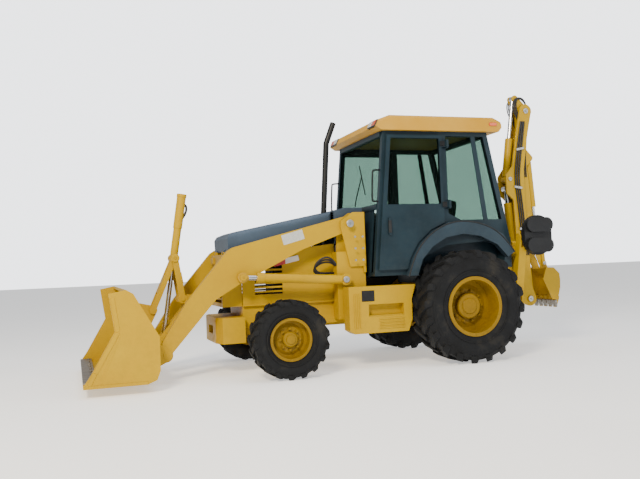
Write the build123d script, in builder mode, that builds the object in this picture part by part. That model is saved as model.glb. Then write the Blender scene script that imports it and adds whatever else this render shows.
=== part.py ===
from build123d import *
import math
import os

os.makedirs("parts", exist_ok=True)

# ------------------------------------------------------------------ sizes (mm)
# Side-view places are given as (distance behind the front axle, height).
# FRONT_AXLE moves them into the part's frame, whose origin is on the ground
# under the middle of the machine: +X to the rear, +Z up, left side at -Y.
FRONT_AXLE = -917.5
WHEELBASE = 2140.0
REAR_AXLE = FRONT_AXLE + WHEELBASE

# wheels
FRONT_R, FRONT_W, FRONT_TRACK = 410.0, 300.0, 946.0      # tyre radius, width, half track
FRONT_SEAT, FRONT_RIM_W, FRONT_LUG, FRONT_LUGS = 205.0, 210.0, 22.0, 18
REAR_R, REAR_W, REAR_TRACK = 632.0, 445.0, 871.0
REAR_SEAT, REAR_RIM_W, REAR_LUG, REAR_LUGS = 305.0, 380.0, 34.0, 20
RIM_T = 10.0                 # rim barrel thickness
BEAD_GAP = 0.2               # tyre bore over rim seat

ARCH_R = 632.0               # rear tyre that the arch outlines below are drawn round

# axles
KINGPIN_Y = 800.0            # half distance between the kingpins
KINGPIN_R = 22.0
KNUCKLE_R = 52.0
SPINDLE_R = 35.0
STUB_R = 55.0                # rear stub shaft
TRUNNION_R = 40.0
PIN_GAP = 0.06               # radial running clearance of pins and shafts

# main frame
RAIL_IN, RAIL_OUT = 250.0, 330.0
RAIL_Z0, RAIL_Z1 = 500.0, 740.0
FRAME_REAR = WHEELBASE + 720.0       # rear face of the rails

# loader
TOWER_PIVOT = (840.0, 1610.0)
ARM_IN, ARM_OUT = 470.0, 560.0
TOWER_GAP = 10.0             # arm to tower plate, each side
TOWER_T = 20.0
ARM_PIN_R = 30.0
LIFT_BASE = (770.0, 990.0)
LIFT_EYE = (-390.0, 1060.0)
LIFT_Y, LIFT_BORE_R, LIFT_TUBE_R, LIFT_ROD_R = 620.0, 28.4, 50.0, 28.0
TIP = (-1210.0, 290.0)       # bucket hinge
GUIDE_FOOT = (-960.0, 850.0)
GUIDE_HEAD = (-1030.0, 1300.0)
LINK_FOOT = (TIP[0] + GUIDE_HEAD[0] - GUIDE_FOOT[0], TIP[1] + GUIDE_HEAD[1] - GUIDE_FOOT[1])
TILT_EYE = (-1175.0, 400.0)
CROSS_TUBE = (-800.0, 800.0)
CROSS_TUBE_R = 75.0
WELD_GAP = 0.2               # root gap where the cross tube meets the arms
LINK_PIN_R = 25.0
BUCKET_W = 2180.0
BUCKET_T = 25.0
LIP = (-2040.0, 90.0)

# hood and cab
HOOD_Y = 400.0
HOOD_HINGE = (-512.0, 1338.0)
CAB_Y = 710.0
DOOR_HINGE = (WHEELBASE - 110.0, 780.0)     # behind the front axle, outboard

# backhoe
SWING_X = WHEELBASE + 1100.0
SWING_PIN_R = 45.0
BOOM_FOOT = (WHEELBASE + 1330.0, 620.0)
BOOM_HEAD = (WHEELBASE + 1420.0, 3060.0)
BOOM_CYL = (WHEELBASE + 1230.0, 1000.0)
BOOM_EYE = (WHEELBASE + 1140.0, 2050.0)
CROWD_CYL = (WHEELBASE + 1140.0, 2170.0)
CROWD_EYE = (WHEELBASE + 1300.0, 3230.0)
DIPPER_TIP = (WHEELBASE + 1500.0, 1250.0)
HOE_W = 460.0
HOE_PIN_R = 30.0

# stabilisers
LEG_X, LEG_Y, LEG_Z = WHEELBASE + 810.0, 620.0, 590.0
FOOT_Y, FOOT_Z = 800.0, 1400.0


def side(*points):
    """Side-view points into the part's X and Z."""
    return [(FRONT_AXLE + x, z) for x, z in points]


def aft(x, z):
    """Side-view point measured from the rear axle."""
    return WHEELBASE + x, z


def arch(x, z):
    """Side-view point measured from the middle of the rear wheel, which moves out with the tyre."""
    return WHEELBASE + x * REAR_R / ARCH_R, REAR_R + z * REAR_R / ARCH_R


def to_side(y):
    """Side-view plane whose extrusion runs from y towards -Y."""
    return Plane.XZ.offset(-y)


def along(a, b, y):
    """Plane at side-view point a, at width y, looking from a to b."""
    return Plane(origin=(FRONT_AXLE + a[0], y, a[1]), x_dir=(0, 1, 0),
                 z_dir=(b[0] - a[0], 0, b[1] - a[1]))


def reach(a, b):
    return math.hypot(b[0] - a[0], b[1] - a[1])


def turn(a, b):
    """Angle of the line a-b in the side view, degrees above +X."""
    return math.degrees(math.atan2(b[1] - a[1], b[0] - a[0]))


# ------------------------------------------------------------------ wheels
# columns: name, distance behind the front axle, radius, width, half track, bead seat,
#          rim width, lug height, lugs a side, rise of the flange, lug skew, disc offset
WHEELS = [
    ("front", 0.0, FRONT_R, FRONT_W, FRONT_TRACK, FRONT_SEAT, FRONT_RIM_W, FRONT_LUG, FRONT_LUGS, 18.0,
     28.0, 20.0),
    ("rear", WHEELBASE, REAR_R, REAR_W, REAR_TRACK, REAR_SEAT, REAR_RIM_W, REAR_LUG, REAR_LUGS, 30.0,
     35.0, -20.0),
]

for name, wx, radius, width, track, seat, rim_w, lug, lugs, flange, skew, disc_at in WHEELS:
    cx, half, rim_half = FRONT_AXLE + wx, width / 2, rim_w / 2
    tread = radius - lug
    shoulder_a, wall_a = half * 0.76, half * 0.935
    wall_r = tread - (radius - seat) * 0.13
    centre = Plane(origin=(cx, -track, radius), x_dir=(1, 0, 0), z_dir=(0, -1, 0))
    radial = Plane(origin=(cx, -track, radius), x_dir=(0, -1, 0), z_dir=(-1, 0, 0))
    spin = Axis((cx, -track, radius), (0, 1, 0))

    # envelope of the lugs: down the shoulder, up to the full radius
    with BuildPart() as envelope:
        with BuildSketch(radial):
            with BuildLine():
                Polyline((0, tread - 12), (half * 0.75, tread - 12), (half * 0.9, wall_r - 8),
                         (half * 0.985, wall_r - 4),
                         (half * 0.97, tread - lug * 0.2), (half * 0.86, radius), (0, radius), close=True)
            make_face()
        revolve(axis=spin)
        mirror(about=centre)
    with BuildPart(centre) as bars:
        for end, start in ((1, -90.0), (-1, -90.0 + 180.0 / lugs)):
            with Locations((0, 0, end * half * 0.53)):
                with PolarLocations(radius - lug * 0.5, lugs, start_angle=start):
                    Box(lug * 4.2, 2 * math.pi * radius / lugs * 0.30, half * 1.16,
                        rotation=(end * skew, 0, 0))
    with BuildPart() as lug_rows:
        add(bars.part)
        add(envelope.part, mode=Mode.INTERSECT)
    with BuildPart() as tyre_left:
        with BuildSketch(radial):
            with BuildLine():
                Polyline((0, seat + BEAD_GAP), (rim_half - RIM_T - 1, seat + BEAD_GAP),
                         (rim_half - RIM_T - 1, seat + flange + 4))
                ThreePointArc((rim_half - RIM_T - 1, seat + flange + 4),
                              (half, seat + (radius - seat) * 0.46), (wall_a, wall_r))
                Polyline((wall_a, wall_r), (shoulder_a, tread), (0, tread), (0, seat + BEAD_GAP))
            make_face()
        revolve(axis=spin)
        mirror(about=centre)
        add(lug_rows.part)
    hub_r = 80.0 if name == "front" else 145.0
    hub_in, hub_out = (-60.0, 75.0) if name == "front" else (-161.0, 50.0)
    shaft_r = SPINDLE_R if name == "front" else STUB_R
    shaft_end = 50.0 if name == "front" else 10.0
    with BuildPart() as rim_left:
        with BuildSketch(radial):
            with BuildLine():
                Polyline((-rim_half, seat + flange), (-rim_half, seat - RIM_T), (rim_half, seat - RIM_T),
                         (rim_half, seat + flange),
                         (rim_half - RIM_T, seat + flange), (rim_half - RIM_T, seat), (-rim_half + RIM_T,
                                 seat),
                         (-rim_half + RIM_T, seat + flange), close=True)
            make_face()
            with BuildLine():
                Polyline((disc_at - 14, shaft_r + PIN_GAP), (disc_at - 14, seat * 0.62),
                         (disc_at - 34, seat * 0.78), (disc_at - 34, seat - RIM_T),
                         (disc_at - 20, seat - RIM_T), (disc_at - 20, seat * 0.80), (disc_at,
                                 seat * 0.64), (disc_at, shaft_r + PIN_GAP), close=True)
            make_face()
            with BuildLine():
                Polyline((hub_in, shaft_r + PIN_GAP), (hub_in, hub_r), (hub_out - 12, hub_r),
                         (hub_out, hub_r - 12), (hub_out, 0),
                         (shaft_end, 0), (shaft_end, shaft_r + PIN_GAP), close=True)
            make_face()
        revolve(axis=spin)
    tyre_right, rim_right = BuildPart(), BuildPart()
    with tyre_right:
        add(tyre_left.part)
        mirror(about=Plane.XZ, mode=Mode.REPLACE)
    with rim_right:
        add(rim_left.part)
        mirror(about=Plane.XZ, mode=Mode.REPLACE)
    for piece, label in ((tyre_left, "tyre_left"), (tyre_right, "tyre_right"), (rim_left, "rim_left"),
                         (rim_right, "rim_right")):
        piece.part.label = f"{name}_{label}"
        export_step(piece.part, f"parts/{name}_{label}.step")

# ------------------------------------------------------------------ axles
ear_z = (FRONT_R - 120.0, FRONT_R - 90.0, FRONT_R + 90.0, FRONT_R + 120.0)
with BuildPart() as front_axle:
    with BuildSketch(Plane.YZ.offset(FRONT_AXLE)):
        with BuildLine():
            Polyline((-KINGPIN_Y + 100, FRONT_R - 65), (-260, FRONT_R - 65), (-150, FRONT_R - 85),
                     (150, FRONT_R - 85),
                     (260, FRONT_R - 65), (KINGPIN_Y - 100, FRONT_R - 65), (KINGPIN_Y - 100,
                             FRONT_R + 65),
                     (-KINGPIN_Y + 100, FRONT_R + 65), close=True)
        make_face()
    extrude(amount=75, both=True)
    with Locations((FRONT_AXLE, 0, FRONT_R)):
        Cylinder(TRUNNION_R, 320, rotation=(0, 90, 0))
    for hand in (-1, 1):
        with Locations((FRONT_AXLE, hand * (KINGPIN_Y - 82), FRONT_R)):
            Box(80, 36, 240)
        for z0, z1 in (ear_z[0:2], ear_z[2:4]):
            with Locations((FRONT_AXLE, hand * (KINGPIN_Y - 30), (z0 + z1) / 2)):
                Box(120, 140, z1 - z0)
            with Locations((FRONT_AXLE, hand * KINGPIN_Y, (z0 + z1) / 2)):
                Cylinder(60, z1 - z0)
    for hand in (-1, 1):
        with Locations((FRONT_AXLE, hand * KINGPIN_Y, FRONT_R)):
            Cylinder(KINGPIN_R + PIN_GAP, 300, mode=Mode.SUBTRACT)
front_axle.part.label = "front_axle"
export_step(front_axle.part, "parts/front_axle.step")

with BuildPart() as knuckle_left:
    with Locations((FRONT_AXLE, -KINGPIN_Y, FRONT_R)):
        Cylinder(KNUCKLE_R, 176)
        Cylinder(KINGPIN_R, 256)
    with Locations((FRONT_AXLE, -(KINGPIN_Y + FRONT_TRACK + 45) / 2, FRONT_R)):
        Cylinder(SPINDLE_R, FRONT_TRACK + 45 - KINGPIN_Y, rotation=(90, 0, 0))
    with Locations((FRONT_AXLE, -KINGPIN_Y - 66, FRONT_R)):
        Cylinder(64, 36, rotation=(90, 0, 0))
    with Locations((FRONT_AXLE + 100, -KINGPIN_Y, FRONT_R - 20)):
        Box(120, 28, 34)
with BuildPart() as knuckle_right:
    add(knuckle_left.part)
    mirror(about=Plane.XZ, mode=Mode.REPLACE)
for piece, label in ((knuckle_left, "knuckle_left"), (knuckle_right, "knuckle_right")):
    piece.part.label = label
    export_step(piece.part, f"parts/{label}.step")

with BuildPart() as rear_axle:
    with BuildSketch(Plane(origin=(REAR_AXLE, 0, REAR_R), x_dir=(0, 1, 0), z_dir=(1, 0, 0))):
        with BuildLine():
            Polyline((0, 0), (0, 185), (110, 185), (205, 125), (RAIL_IN - 8, 98), (REAR_TRACK - 311, 92),
                     (REAR_TRACK - 300, 165), (REAR_TRACK - 175, 165),
                     (REAR_TRACK - 165, 150), (REAR_TRACK - 165, STUB_R), (REAR_TRACK + 5,
                             STUB_R), (REAR_TRACK + 5, 0), close=True)
        make_face()
    revolve(axis=Axis((REAR_AXLE, 0, REAR_R), (0, 1, 0)))
    mirror(about=Plane.XZ)
    for hand in (-1, 1):
        with Locations((REAR_AXLE, hand * (RAIL_IN + RAIL_OUT) / 2, REAR_R + 115 / 2)):
            Box(230, RAIL_OUT - RAIL_IN, 115)
    with Locations((REAR_AXLE - 225, 0, REAR_R)):
        Cylinder(90, 110, rotation=(0, 90, 0))
rear_axle.part.label = "rear_axle"
export_step(rear_axle.part, "parts/rear_axle.step")

# ------------------------------------------------------------------ main frame
with BuildPart() as main_frame:
    for y1 in (RAIL_OUT, -RAIL_IN):
        with BuildSketch(to_side(y1)):
            with BuildLine():
                Polyline(*side((-340, RAIL_Z0), (FRAME_REAR, RAIL_Z0), (FRAME_REAR, 860), aft(360, 900),
                               aft(-280, 900), aft(-440, RAIL_Z1), (-340, RAIL_Z1)), close=True)
            make_face()
            with BuildLine():
                Polyline(*side((WHEELBASE - 115, RAIL_Z0 - 10), (WHEELBASE - 115, REAR_R + 115),
                               (WHEELBASE + 115, REAR_R + 115), (WHEELBASE + 115,
                        RAIL_Z0 - 10)), close=True)
            make_face(mode=Mode.SUBTRACT)
        extrude(amount=RAIL_OUT - RAIL_IN)
    # cross members: (from, to, bottom, top)
    for x0, x1, z0, z1 in ((-340, -310, 500, 740), (-250, 250, 500, 540), (700, 760, 540, 600),
                           (WHEELBASE - 580, WHEELBASE - 500, 560, 700), (WHEELBASE + 560,
            WHEELBASE + 620, 560, 760)):
        with Locations((FRONT_AXLE + (x0 + x1) / 2, 0, (z0 + z1) / 2)):
            Box(x1 - x0, 2 * RAIL_IN + 20, z1 - z0)
    # trunnion hangers either side of the axle beam
    for hand in (-1, 1):
        with Locations((FRONT_AXLE + hand * 120, 0, 450)):
            Box(50, 240, 140)
        with Locations((FRONT_AXLE + hand * 120, 0, FRONT_R)):
            Cylinder(120, 50, rotation=(0, 90, 0))
    with Locations((FRONT_AXLE, 0, FRONT_R)):
        Cylinder(TRUNNION_R + PIN_GAP, 400, rotation=(0, 90, 0), mode=Mode.SUBTRACT)
    # bumper casting with its tow-pin bore
    with BuildSketch(Plane.XY.offset(350)):
        with BuildLine():
            Polyline((FRONT_AXLE - 640, -300), (FRONT_AXLE - 590, -450), (FRONT_AXLE - 340, -450),
                     (FRONT_AXLE - 340, 450),
                     (FRONT_AXLE - 590, 450), (FRONT_AXLE - 640, 300), close=True)
        make_face()
    extrude(amount=280)
    with Locations((FRONT_AXLE - 640, 0, 490)):
        Box(200, 260, 90, mode=Mode.SUBTRACT)
    with Locations((FRONT_AXLE - 590, 0, 490)):
        Cylinder(20, 400, mode=Mode.SUBTRACT)
main_frame.part.label = "main_frame"
export_step(main_frame.part, "parts/main_frame.step")

# ------------------------------------------------------------------ engine, nose, hood
with BuildPart() as engine_block:
    # blocks: (from, to, half width, bottom, top)
    for x0, x1, y, z0, z1 in ((60, 700, 190, 745, 1290), (140, 620, 150, 600, 745),
                              (700, 1500, 170, 605, 980), (180, 300, RAIL_IN + 40, RAIL_Z1, 775), (600,
            690, RAIL_IN + 40, RAIL_Z1, 775), (1360, 1440, RAIL_IN + 40, RAIL_Z1, 775)):
        with Locations((FRONT_AXLE + (x0 + x1) / 2, 0, (z0 + z1) / 2)):
            Box(x1 - x0, 2 * y, z1 - z0)
engine_block.part.label = "engine_block"
export_step(engine_block.part, "parts/engine_block.step")

with BuildPart() as nose_grille:
    with BuildSketch(to_side(330)):
        with BuildLine():
            Polyline(*side((-560, RAIL_Z1), (-340, RAIL_Z1), (-340, 1290), (-440, 1318), (-545, 1318)),
                     close=True)
        make_face()
    extrude(amount=660)
    with BuildSketch(to_side(290)):
        with BuildLine():
            Polyline(*side((-520, 780), (-300, 780), (-300, 1260), (-440, 1290), (-500, 1290)),
                     close=True)
        make_face()
    extrude(amount=580, mode=Mode.SUBTRACT)
    with Locations(*[(FRONT_AXLE - 560, 0, 800 + 60 * i) for i in range(7)]):
        Box(120, 540, 34, mode=Mode.SUBTRACT)
    for hand in (-1, 1):
        with Locations((FRONT_AXLE - 545, hand * 215, 1255)):
            Box(40, 150, 74)
    # ears that carry the hood's hinge pin
    for y1 in (212, -200):
        with BuildSketch(to_side(y1)):
            with Locations(side(HOOD_HINGE)[0]):
                Circle(18)
            with Locations(side((-530, 1300))[0], side((-490, 1300))[0]):
                Circle(5)
            make_hull()
        extrude(amount=12)
    for hand in (-1, 1):
        with Locations((FRONT_AXLE + HOOD_HINGE[0], hand * 225, HOOD_HINGE[1])):
            Cylinder(10, 34, rotation=(90, 0, 0))
nose_grille.part.label = "nose_grille"
export_step(nose_grille.part, "parts/nose_grille.step")

with BuildPart() as engine_side_panels:
    for y1 in (HOOD_Y - 40, -HOOD_Y + 60):
        with BuildSketch(to_side(y1)):
            with BuildLine():
                Polyline(*side((-339, RAIL_Z1), (740, RAIL_Z1), (740, 1400), (-339, 1290)), close=True)
            make_face()
            with BuildLine():
                Polyline(*side((-200, 860), (120, 860), (120, 1180), (-200, 1160)), close=True)
            make_face(mode=Mode.SUBTRACT)
        extrude(amount=20)
    for hand in (-1, 1):
        with Locations((FRONT_AXLE + 200, hand * (HOOD_Y - 65), RAIL_Z1 + 10)):
            Box(1078, 70, 20)
        for i in range(6):
            with Locations((FRONT_AXLE - 40, hand * (HOOD_Y - 50), 890 + 48 * i)):
                Box(330, 12, 20)
engine_side_panels.part.label = "engine_side_panels"
export_step(engine_side_panels.part, "parts/engine_side_panels.step")

hood_line = side((-490, 1350), (-495, 1490), (-470, 1535), (-390, 1565), (725, 1775), (725, 1470),
                 (-440, 1350))
with BuildPart() as hood:
    with BuildSketch(to_side(HOOD_Y)):
        with BuildLine():
            Polyline(*hood_line, close=True)
        make_face()
    extrude(amount=2 * HOOD_Y)
    side_edges = hood.faces().filter_by(Axis.Y).edges()
    fillet(side_edges.filter_by(lambda e: e.center().Z > 1500 and e.length > 300), radius=60)
    with BuildSketch(to_side(HOOD_Y - 20)):
        with BuildLine():
            Polyline(*side((-470, 1340), (-472, 1480), (-385, 1543), (745, 1756), (745, 1340)),
                     close=True)
        make_face()
    extrude(amount=2 * HOOD_Y - 40, mode=Mode.SUBTRACT)
    with Locations((FRONT_AXLE + 660, -300, 1750)):
        Box(200, 130, 300, mode=Mode.SUBTRACT)
    for y1 in (238, -216):
        with BuildSketch(to_side(y1)):
            with Locations(side(HOOD_HINGE)[0]):
                Circle(16)
            with Locations(side((-481, 1372))[0]):
                Circle(8)
            make_hull()
            with Locations(side(HOOD_HINGE)[0]):
                Circle(10 + PIN_GAP, mode=Mode.SUBTRACT)
        extrude(amount=22)
hood.part.label = "hood"
export_step(hood.part, "parts/hood.step")

with BuildPart() as exhaust_stack:
    with BuildLine() as stack_path:
        FilletPolyline((FRONT_AXLE + 615, -190, 1240), (FRONT_AXLE + 615, -300, 1240),
                       (FRONT_AXLE + 720, -300, 2560), (FRONT_AXLE + 815, -300, 2800), radius=60)
    with BuildSketch(Plane(origin=(FRONT_AXLE + 615, -190, 1240), z_dir=(0, -1, 0))):
        Circle(33)
    sweep()
exhaust_stack.part.label = "exhaust_stack"
export_step(exhaust_stack.part, "parts/exhaust_stack.step")

with BuildPart() as cowl:
    with BuildSketch(to_side(HOOD_Y)):
        with BuildLine():
            Polyline(*side((742, 1400), (742, 1779), (880, 1806), (1090, 1806), (1090, 1010),
                           (1065, 1010), (1065, 1400)), close=True)
        make_face()
    extrude(amount=2 * HOOD_Y)
    with BuildSketch(to_side(HOOD_Y - 20)):
        with BuildLine():
            Polyline(*side((720, 1390), (720, 1757), (880, 1784), (1065, 1784), (1065, 1390)), close=True)
        make_face()
    extrude(amount=2 * HOOD_Y - 40, mode=Mode.SUBTRACT)
cowl.part.label = "cowl"
export_step(cowl.part, "parts/cowl.step")

# ------------------------------------------------------------------ loader frame
plate_in, plate_out = ARM_IN - TOWER_GAP, ARM_OUT + TOWER_GAP
with BuildPart() as loader_frame:
    for hand in (-1, 1):
        # inner and outer plates: (from y, outline)
        for y0, outline in ((plate_in - TOWER_T,
                             side((720, 1000), (1020, 1000), (1020, 1740), (900, 1740), (755, 1640),
                                  (750, 1580))),
                            (plate_out, side((850, 1130), (1020, 1130), (1020, 1740), (900, 1740),
                                             (755, 1640), (750, 1580)))):
            y1 = y0 + TOWER_T if hand == 1 else -y0
            with BuildSketch(to_side(y1)):
                with BuildLine():
                    Polyline(*outline, close=True)
                make_face()
            extrude(amount=TOWER_T)
        with Locations((FRONT_AXLE + 1025, hand * (plate_in + plate_out) / 2, 1400)):
            Box(30, plate_out - plate_in + 2 * TOWER_T, 680)
        # leg box down to the rail, and its bracket arm
        with BuildSketch(to_side(ARM_OUT if hand == 1 else -(plate_in - 40))):
            with BuildLine():
                Polyline(*side((700, 545), (1040, 545), (1040, 1300), (700, 1300)), close=True)
            make_face()
        extrude(amount=ARM_OUT - plate_in + 40)
        with Locations((FRONT_AXLE + 870, hand * (RAIL_OUT + plate_in) / 2, 640)):
            Box(300, plate_in - RAIL_OUT, 180)
        with Locations((FRONT_AXLE + LIFT_BASE[0], hand * (ARM_OUT + 45), LIFT_BASE[1])):
            Cylinder(35, 110, rotation=(90, 0, 0))
        with Locations((FRONT_AXLE + TOWER_PIVOT[0], hand * (plate_in + plate_out) / 2, TOWER_PIVOT[1])):
            Cylinder(ARM_PIN_R, plate_out - plate_in + 2 * TOWER_T + 30, rotation=(90, 0, 0))
loader_frame.part.label = "loader_frame"
export_step(loader_frame.part, "parts/loader_frame.step")

# ------------------------------------------------------------------ loader arms
with BuildPart() as lift_arms:
    for hand in (-1, 1):
        y1 = ARM_OUT if hand == 1 else -ARM_IN
        with BuildSketch(to_side(y1)):
            with BuildLine():
                Polyline(*side((800, 1692), (-470, 1385), (-530, 1350), (-980, 830), (-1235, 440),
                               (-1275, 330), (-1150, 300), (-670, 840), (-410, 990), (310, 1340), (850,
                        1530)), close=True)
            make_face()
            for place, r in ((TOWER_PIVOT, 84), (TIP, 72)):
                with Locations(side(place)[0]):
                    Circle(r)
        extrude(amount=ARM_OUT - ARM_IN)
    with Locations((FRONT_AXLE + CROSS_TUBE[0], 0, CROSS_TUBE[1])):
        Cylinder(CROSS_TUBE_R, 2 * (ARM_IN - WELD_GAP), rotation=(90, 0, 0))
    for y1 in (72, -50):
        for foot, r in ((GUIDE_FOOT, 48), (TILT_EYE, 60)):
            with BuildSketch(to_side(y1)):
                with Locations(side(CROSS_TUBE)[0]):
                    Circle(CROSS_TUBE_R + 12)
                with Locations(side(foot)[0]):
                    Circle(r)
                make_hull()
            extrude(amount=22)
    for hand in (-1, 1):
        with Locations((FRONT_AXLE + GUIDE_FOOT[0], hand * 96, GUIDE_FOOT[1])):
            Cylinder(LINK_PIN_R, 88, rotation=(90, 0, 0))
    for place, r in ((TOWER_PIVOT, ARM_PIN_R), (TIP, ARM_PIN_R)):
        with Locations((FRONT_AXLE + place[0], 0, place[1])):
            Cylinder(r + PIN_GAP, 2 * ARM_OUT + 20, rotation=(90, 0, 0), mode=Mode.SUBTRACT)
lift_arms.part.label = "lift_arms"
export_step(lift_arms.part, "parts/lift_arms.step")

# ------------------------------------------------------------------ cylinders
lift_run = reach(LIFT_BASE, LIFT_EYE)
with BuildPart() as lift_cylinders:
    for hand in (-1, 1):
        line = along(LIFT_BASE, LIFT_EYE, hand * LIFT_Y)
        with BuildSketch(line.offset(50)):
            Circle(LIFT_TUBE_R)
        extrude(amount=lift_run - 152 - 50)
        with BuildSketch(line.offset(lift_run - 230)):
            Circle(LIFT_TUBE_R + 7)
        extrude(amount=78)
        with Locations((FRONT_AXLE + LIFT_BASE[0], hand * LIFT_Y, LIFT_BASE[1])):
            Cylinder(62, 60, rotation=(90, 0, 0))
            Cylinder(35 + PIN_GAP, 80, rotation=(90, 0, 0), mode=Mode.SUBTRACT)
        with BuildSketch(line.offset(66)):
            Circle(LIFT_BORE_R)
        extrude(amount=lift_run, mode=Mode.SUBTRACT)
lift_cylinders.part.label = "lift_cylinders"
export_step(lift_cylinders.part, "parts/lift_cylinders.step")
with BuildPart() as lift_rods:
    for hand in (-1, 1):
        line = along(LIFT_BASE, LIFT_EYE, hand * LIFT_Y)
        with BuildSketch(line.offset(90)):
            Circle(LIFT_ROD_R)
        extrude(amount=lift_run - 120)
        with Locations((FRONT_AXLE + LIFT_EYE[0], hand * LIFT_Y, LIFT_EYE[1])):
            Cylinder(55, 60, rotation=(90, 0, 0))
        with Locations((FRONT_AXLE + LIFT_EYE[0], hand * (ARM_OUT + 0.5 + 51), LIFT_EYE[1])):
            Cylinder(32, 102, rotation=(90, 0, 0))
lift_rods.part.label = "lift_rods"
export_step(lift_rods.part, "parts/lift_rods.step")

# ------------------------------------------------------------------ loader bucket
shell = side(LIP, (-1450, 90), (-1360, 125), (-1325, 215), (-1325, 540), (-1560, 960), (-1625, 1000))
with BuildPart() as loader_bucket:
    with BuildSketch(to_side(BUCKET_W / 2)):
        with BuildLine():
            Polyline(*shell, *side((-1634, 975), (-1578, 942), (-1350, 533), (-1350, 222), (-1378, 143),
                                   (-1457, 115), (-2040, 115)), close=True)
        make_face()
    extrude(amount=BUCKET_W)
    for y1 in (BUCKET_W / 2, -BUCKET_W / 2 + BUCKET_T):
        with BuildSketch(to_side(y1)):
            with BuildLine():
                Polyline(*shell, *side((-1790, 970), (-1740, 610), (-1960, 230), (-2040, 115)),
                         close=True)
            make_face()
        extrude(amount=BUCKET_T)
    # hinge ears round each arm tip, link ears in the middle
    for y1 in (ARM_OUT + 15, ARM_IN - 3, -ARM_OUT - 3, -ARM_IN + 15):
        with BuildSketch(to_side(y1)):
            with Locations(side(TIP)[0]):
                Circle(62)
            with Locations(side((-1345, 160))[0], side((-1335, 470))[0]):
                Circle(3)
            make_hull()
        extrude(amount=12)
    for hand in (-1, 1):
        with Locations((FRONT_AXLE + TIP[0], hand * (ARM_IN + ARM_OUT) / 2, TIP[1])):
            Cylinder(ARM_PIN_R, ARM_OUT - ARM_IN + 40, rotation=(90, 0, 0))
    for y1 in (75, -50):
        with BuildSketch(to_side(y1)):
            with Locations(side(LINK_FOOT)[0]):
                Circle(46)
            with Locations(side((-1330, 545))[0], side((-1490, 835))[0]):
                Circle(3)
            make_hull()
        extrude(amount=25)
    for hand in (-1, 1):
        with Locations((FRONT_AXLE + LINK_FOOT[0], hand * 76, LINK_FOOT[1])):
            Cylinder(LINK_PIN_R, 52, rotation=(90, 0, 0))
    # cutting edge
    with Locations((FRONT_AXLE + LIP[0] + 60, 0, LIP[1] + 32)):
        Box(120, BUCKET_W - 60, 16)
loader_bucket.part.label = "loader_bucket"
export_step(loader_bucket.part, "parts/loader_bucket.step")

# ------------------------------------------------------------------ bucket linkage
# links: name, foot, head, inner face, outer face, half width at the pins, web from, web to, web offset
LINKS = [
    ("guide_link", GUIDE_FOOT, GUIDE_HEAD, 108.0, 128.0, 50.0, 165.0, 290.0, 34.0),
    ("bucket_link", GUIDE_HEAD, LINK_FOOT, 80.0, 100.0, 42.0, 210.0, 420.0, 20.0),
]
for name, foot, head, y_in, y_out, pad, web0, web1, web_off in LINKS:
    ux, uz = (head[0] - foot[0]) / reach(foot, head), (head[1] - foot[1]) / reach(foot, head)
    with BuildPart() as link:
        for y1 in (y_out, -y_in):
            with BuildSketch(to_side(y1)):
                for place in (foot, head):
                    with Locations(side(place)[0]):
                        Circle(pad)
                with Locations(side(((foot[0] + head[0]) / 2, (foot[1] + head[1]) / 2))[0]):
                    Rectangle(reach(foot, head), 1.36 * pad, rotation=turn(foot, head))
                for place in (foot, head):
                    with Locations(side(place)[0]):
                        Circle(LINK_PIN_R + PIN_GAP, mode=Mode.SUBTRACT)
            extrude(amount=y_out - y_in)
        web = Plane(origin=(FRONT_AXLE + foot[0] + ux * (web0 + web1) / 2 + uz * web_off, 0,
                            foot[1] + uz * (web0 + web1) / 2 - ux * web_off),
                    x_dir=(ux, 0, uz), z_dir=(uz, 0, -ux))
        with BuildSketch(web):
            Rectangle(web1 - web0, 2 * y_out - 2)
        extrude(amount=6, both=True)
    link.part.label = name
    export_step(link.part, f"parts/{name}.step")

tilt_run = reach(GUIDE_HEAD, TILT_EYE)
tilt_line = along(GUIDE_HEAD, TILT_EYE, 0)
with BuildPart() as tilt_cylinder:
    # stations along the cylinder: (from, to, radius)
    for a, b, r in ((-725, -340, 50), (-360, 92, 44), (60, 92, 50), (-725, -690, 54)):
        with BuildSketch(tilt_line.offset(a)):
            Circle(r)
        extrude(amount=b - a)
    with Locations((FRONT_AXLE + GUIDE_HEAD[0], 0, GUIDE_HEAD[1])):
        Cylinder(52, 104, rotation=(90, 0, 0))
        Cylinder(LINK_PIN_R, 262, rotation=(90, 0, 0))
    with BuildSketch(tilt_line.offset(-700)):
        Circle(25.4)
    extrude(amount=840, mode=Mode.SUBTRACT)
tilt_cylinder.part.label = "tilt_cylinder"
export_step(tilt_cylinder.part, "parts/tilt_cylinder.step")
with BuildPart() as tilt_rod:
    with BuildSketch(tilt_line.offset(-70)):
        Circle(25)
    extrude(amount=tilt_run + 70 - 20)
    with Locations((FRONT_AXLE + TILT_EYE[0], 0, TILT_EYE[1])):
        Cylinder(48, 80, rotation=(90, 0, 0))
        Cylinder(28, 99, rotation=(90, 0, 0))
tilt_rod.part.label = "tilt_rod"
export_step(tilt_rod.part, "parts/tilt_rod.step")

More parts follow.
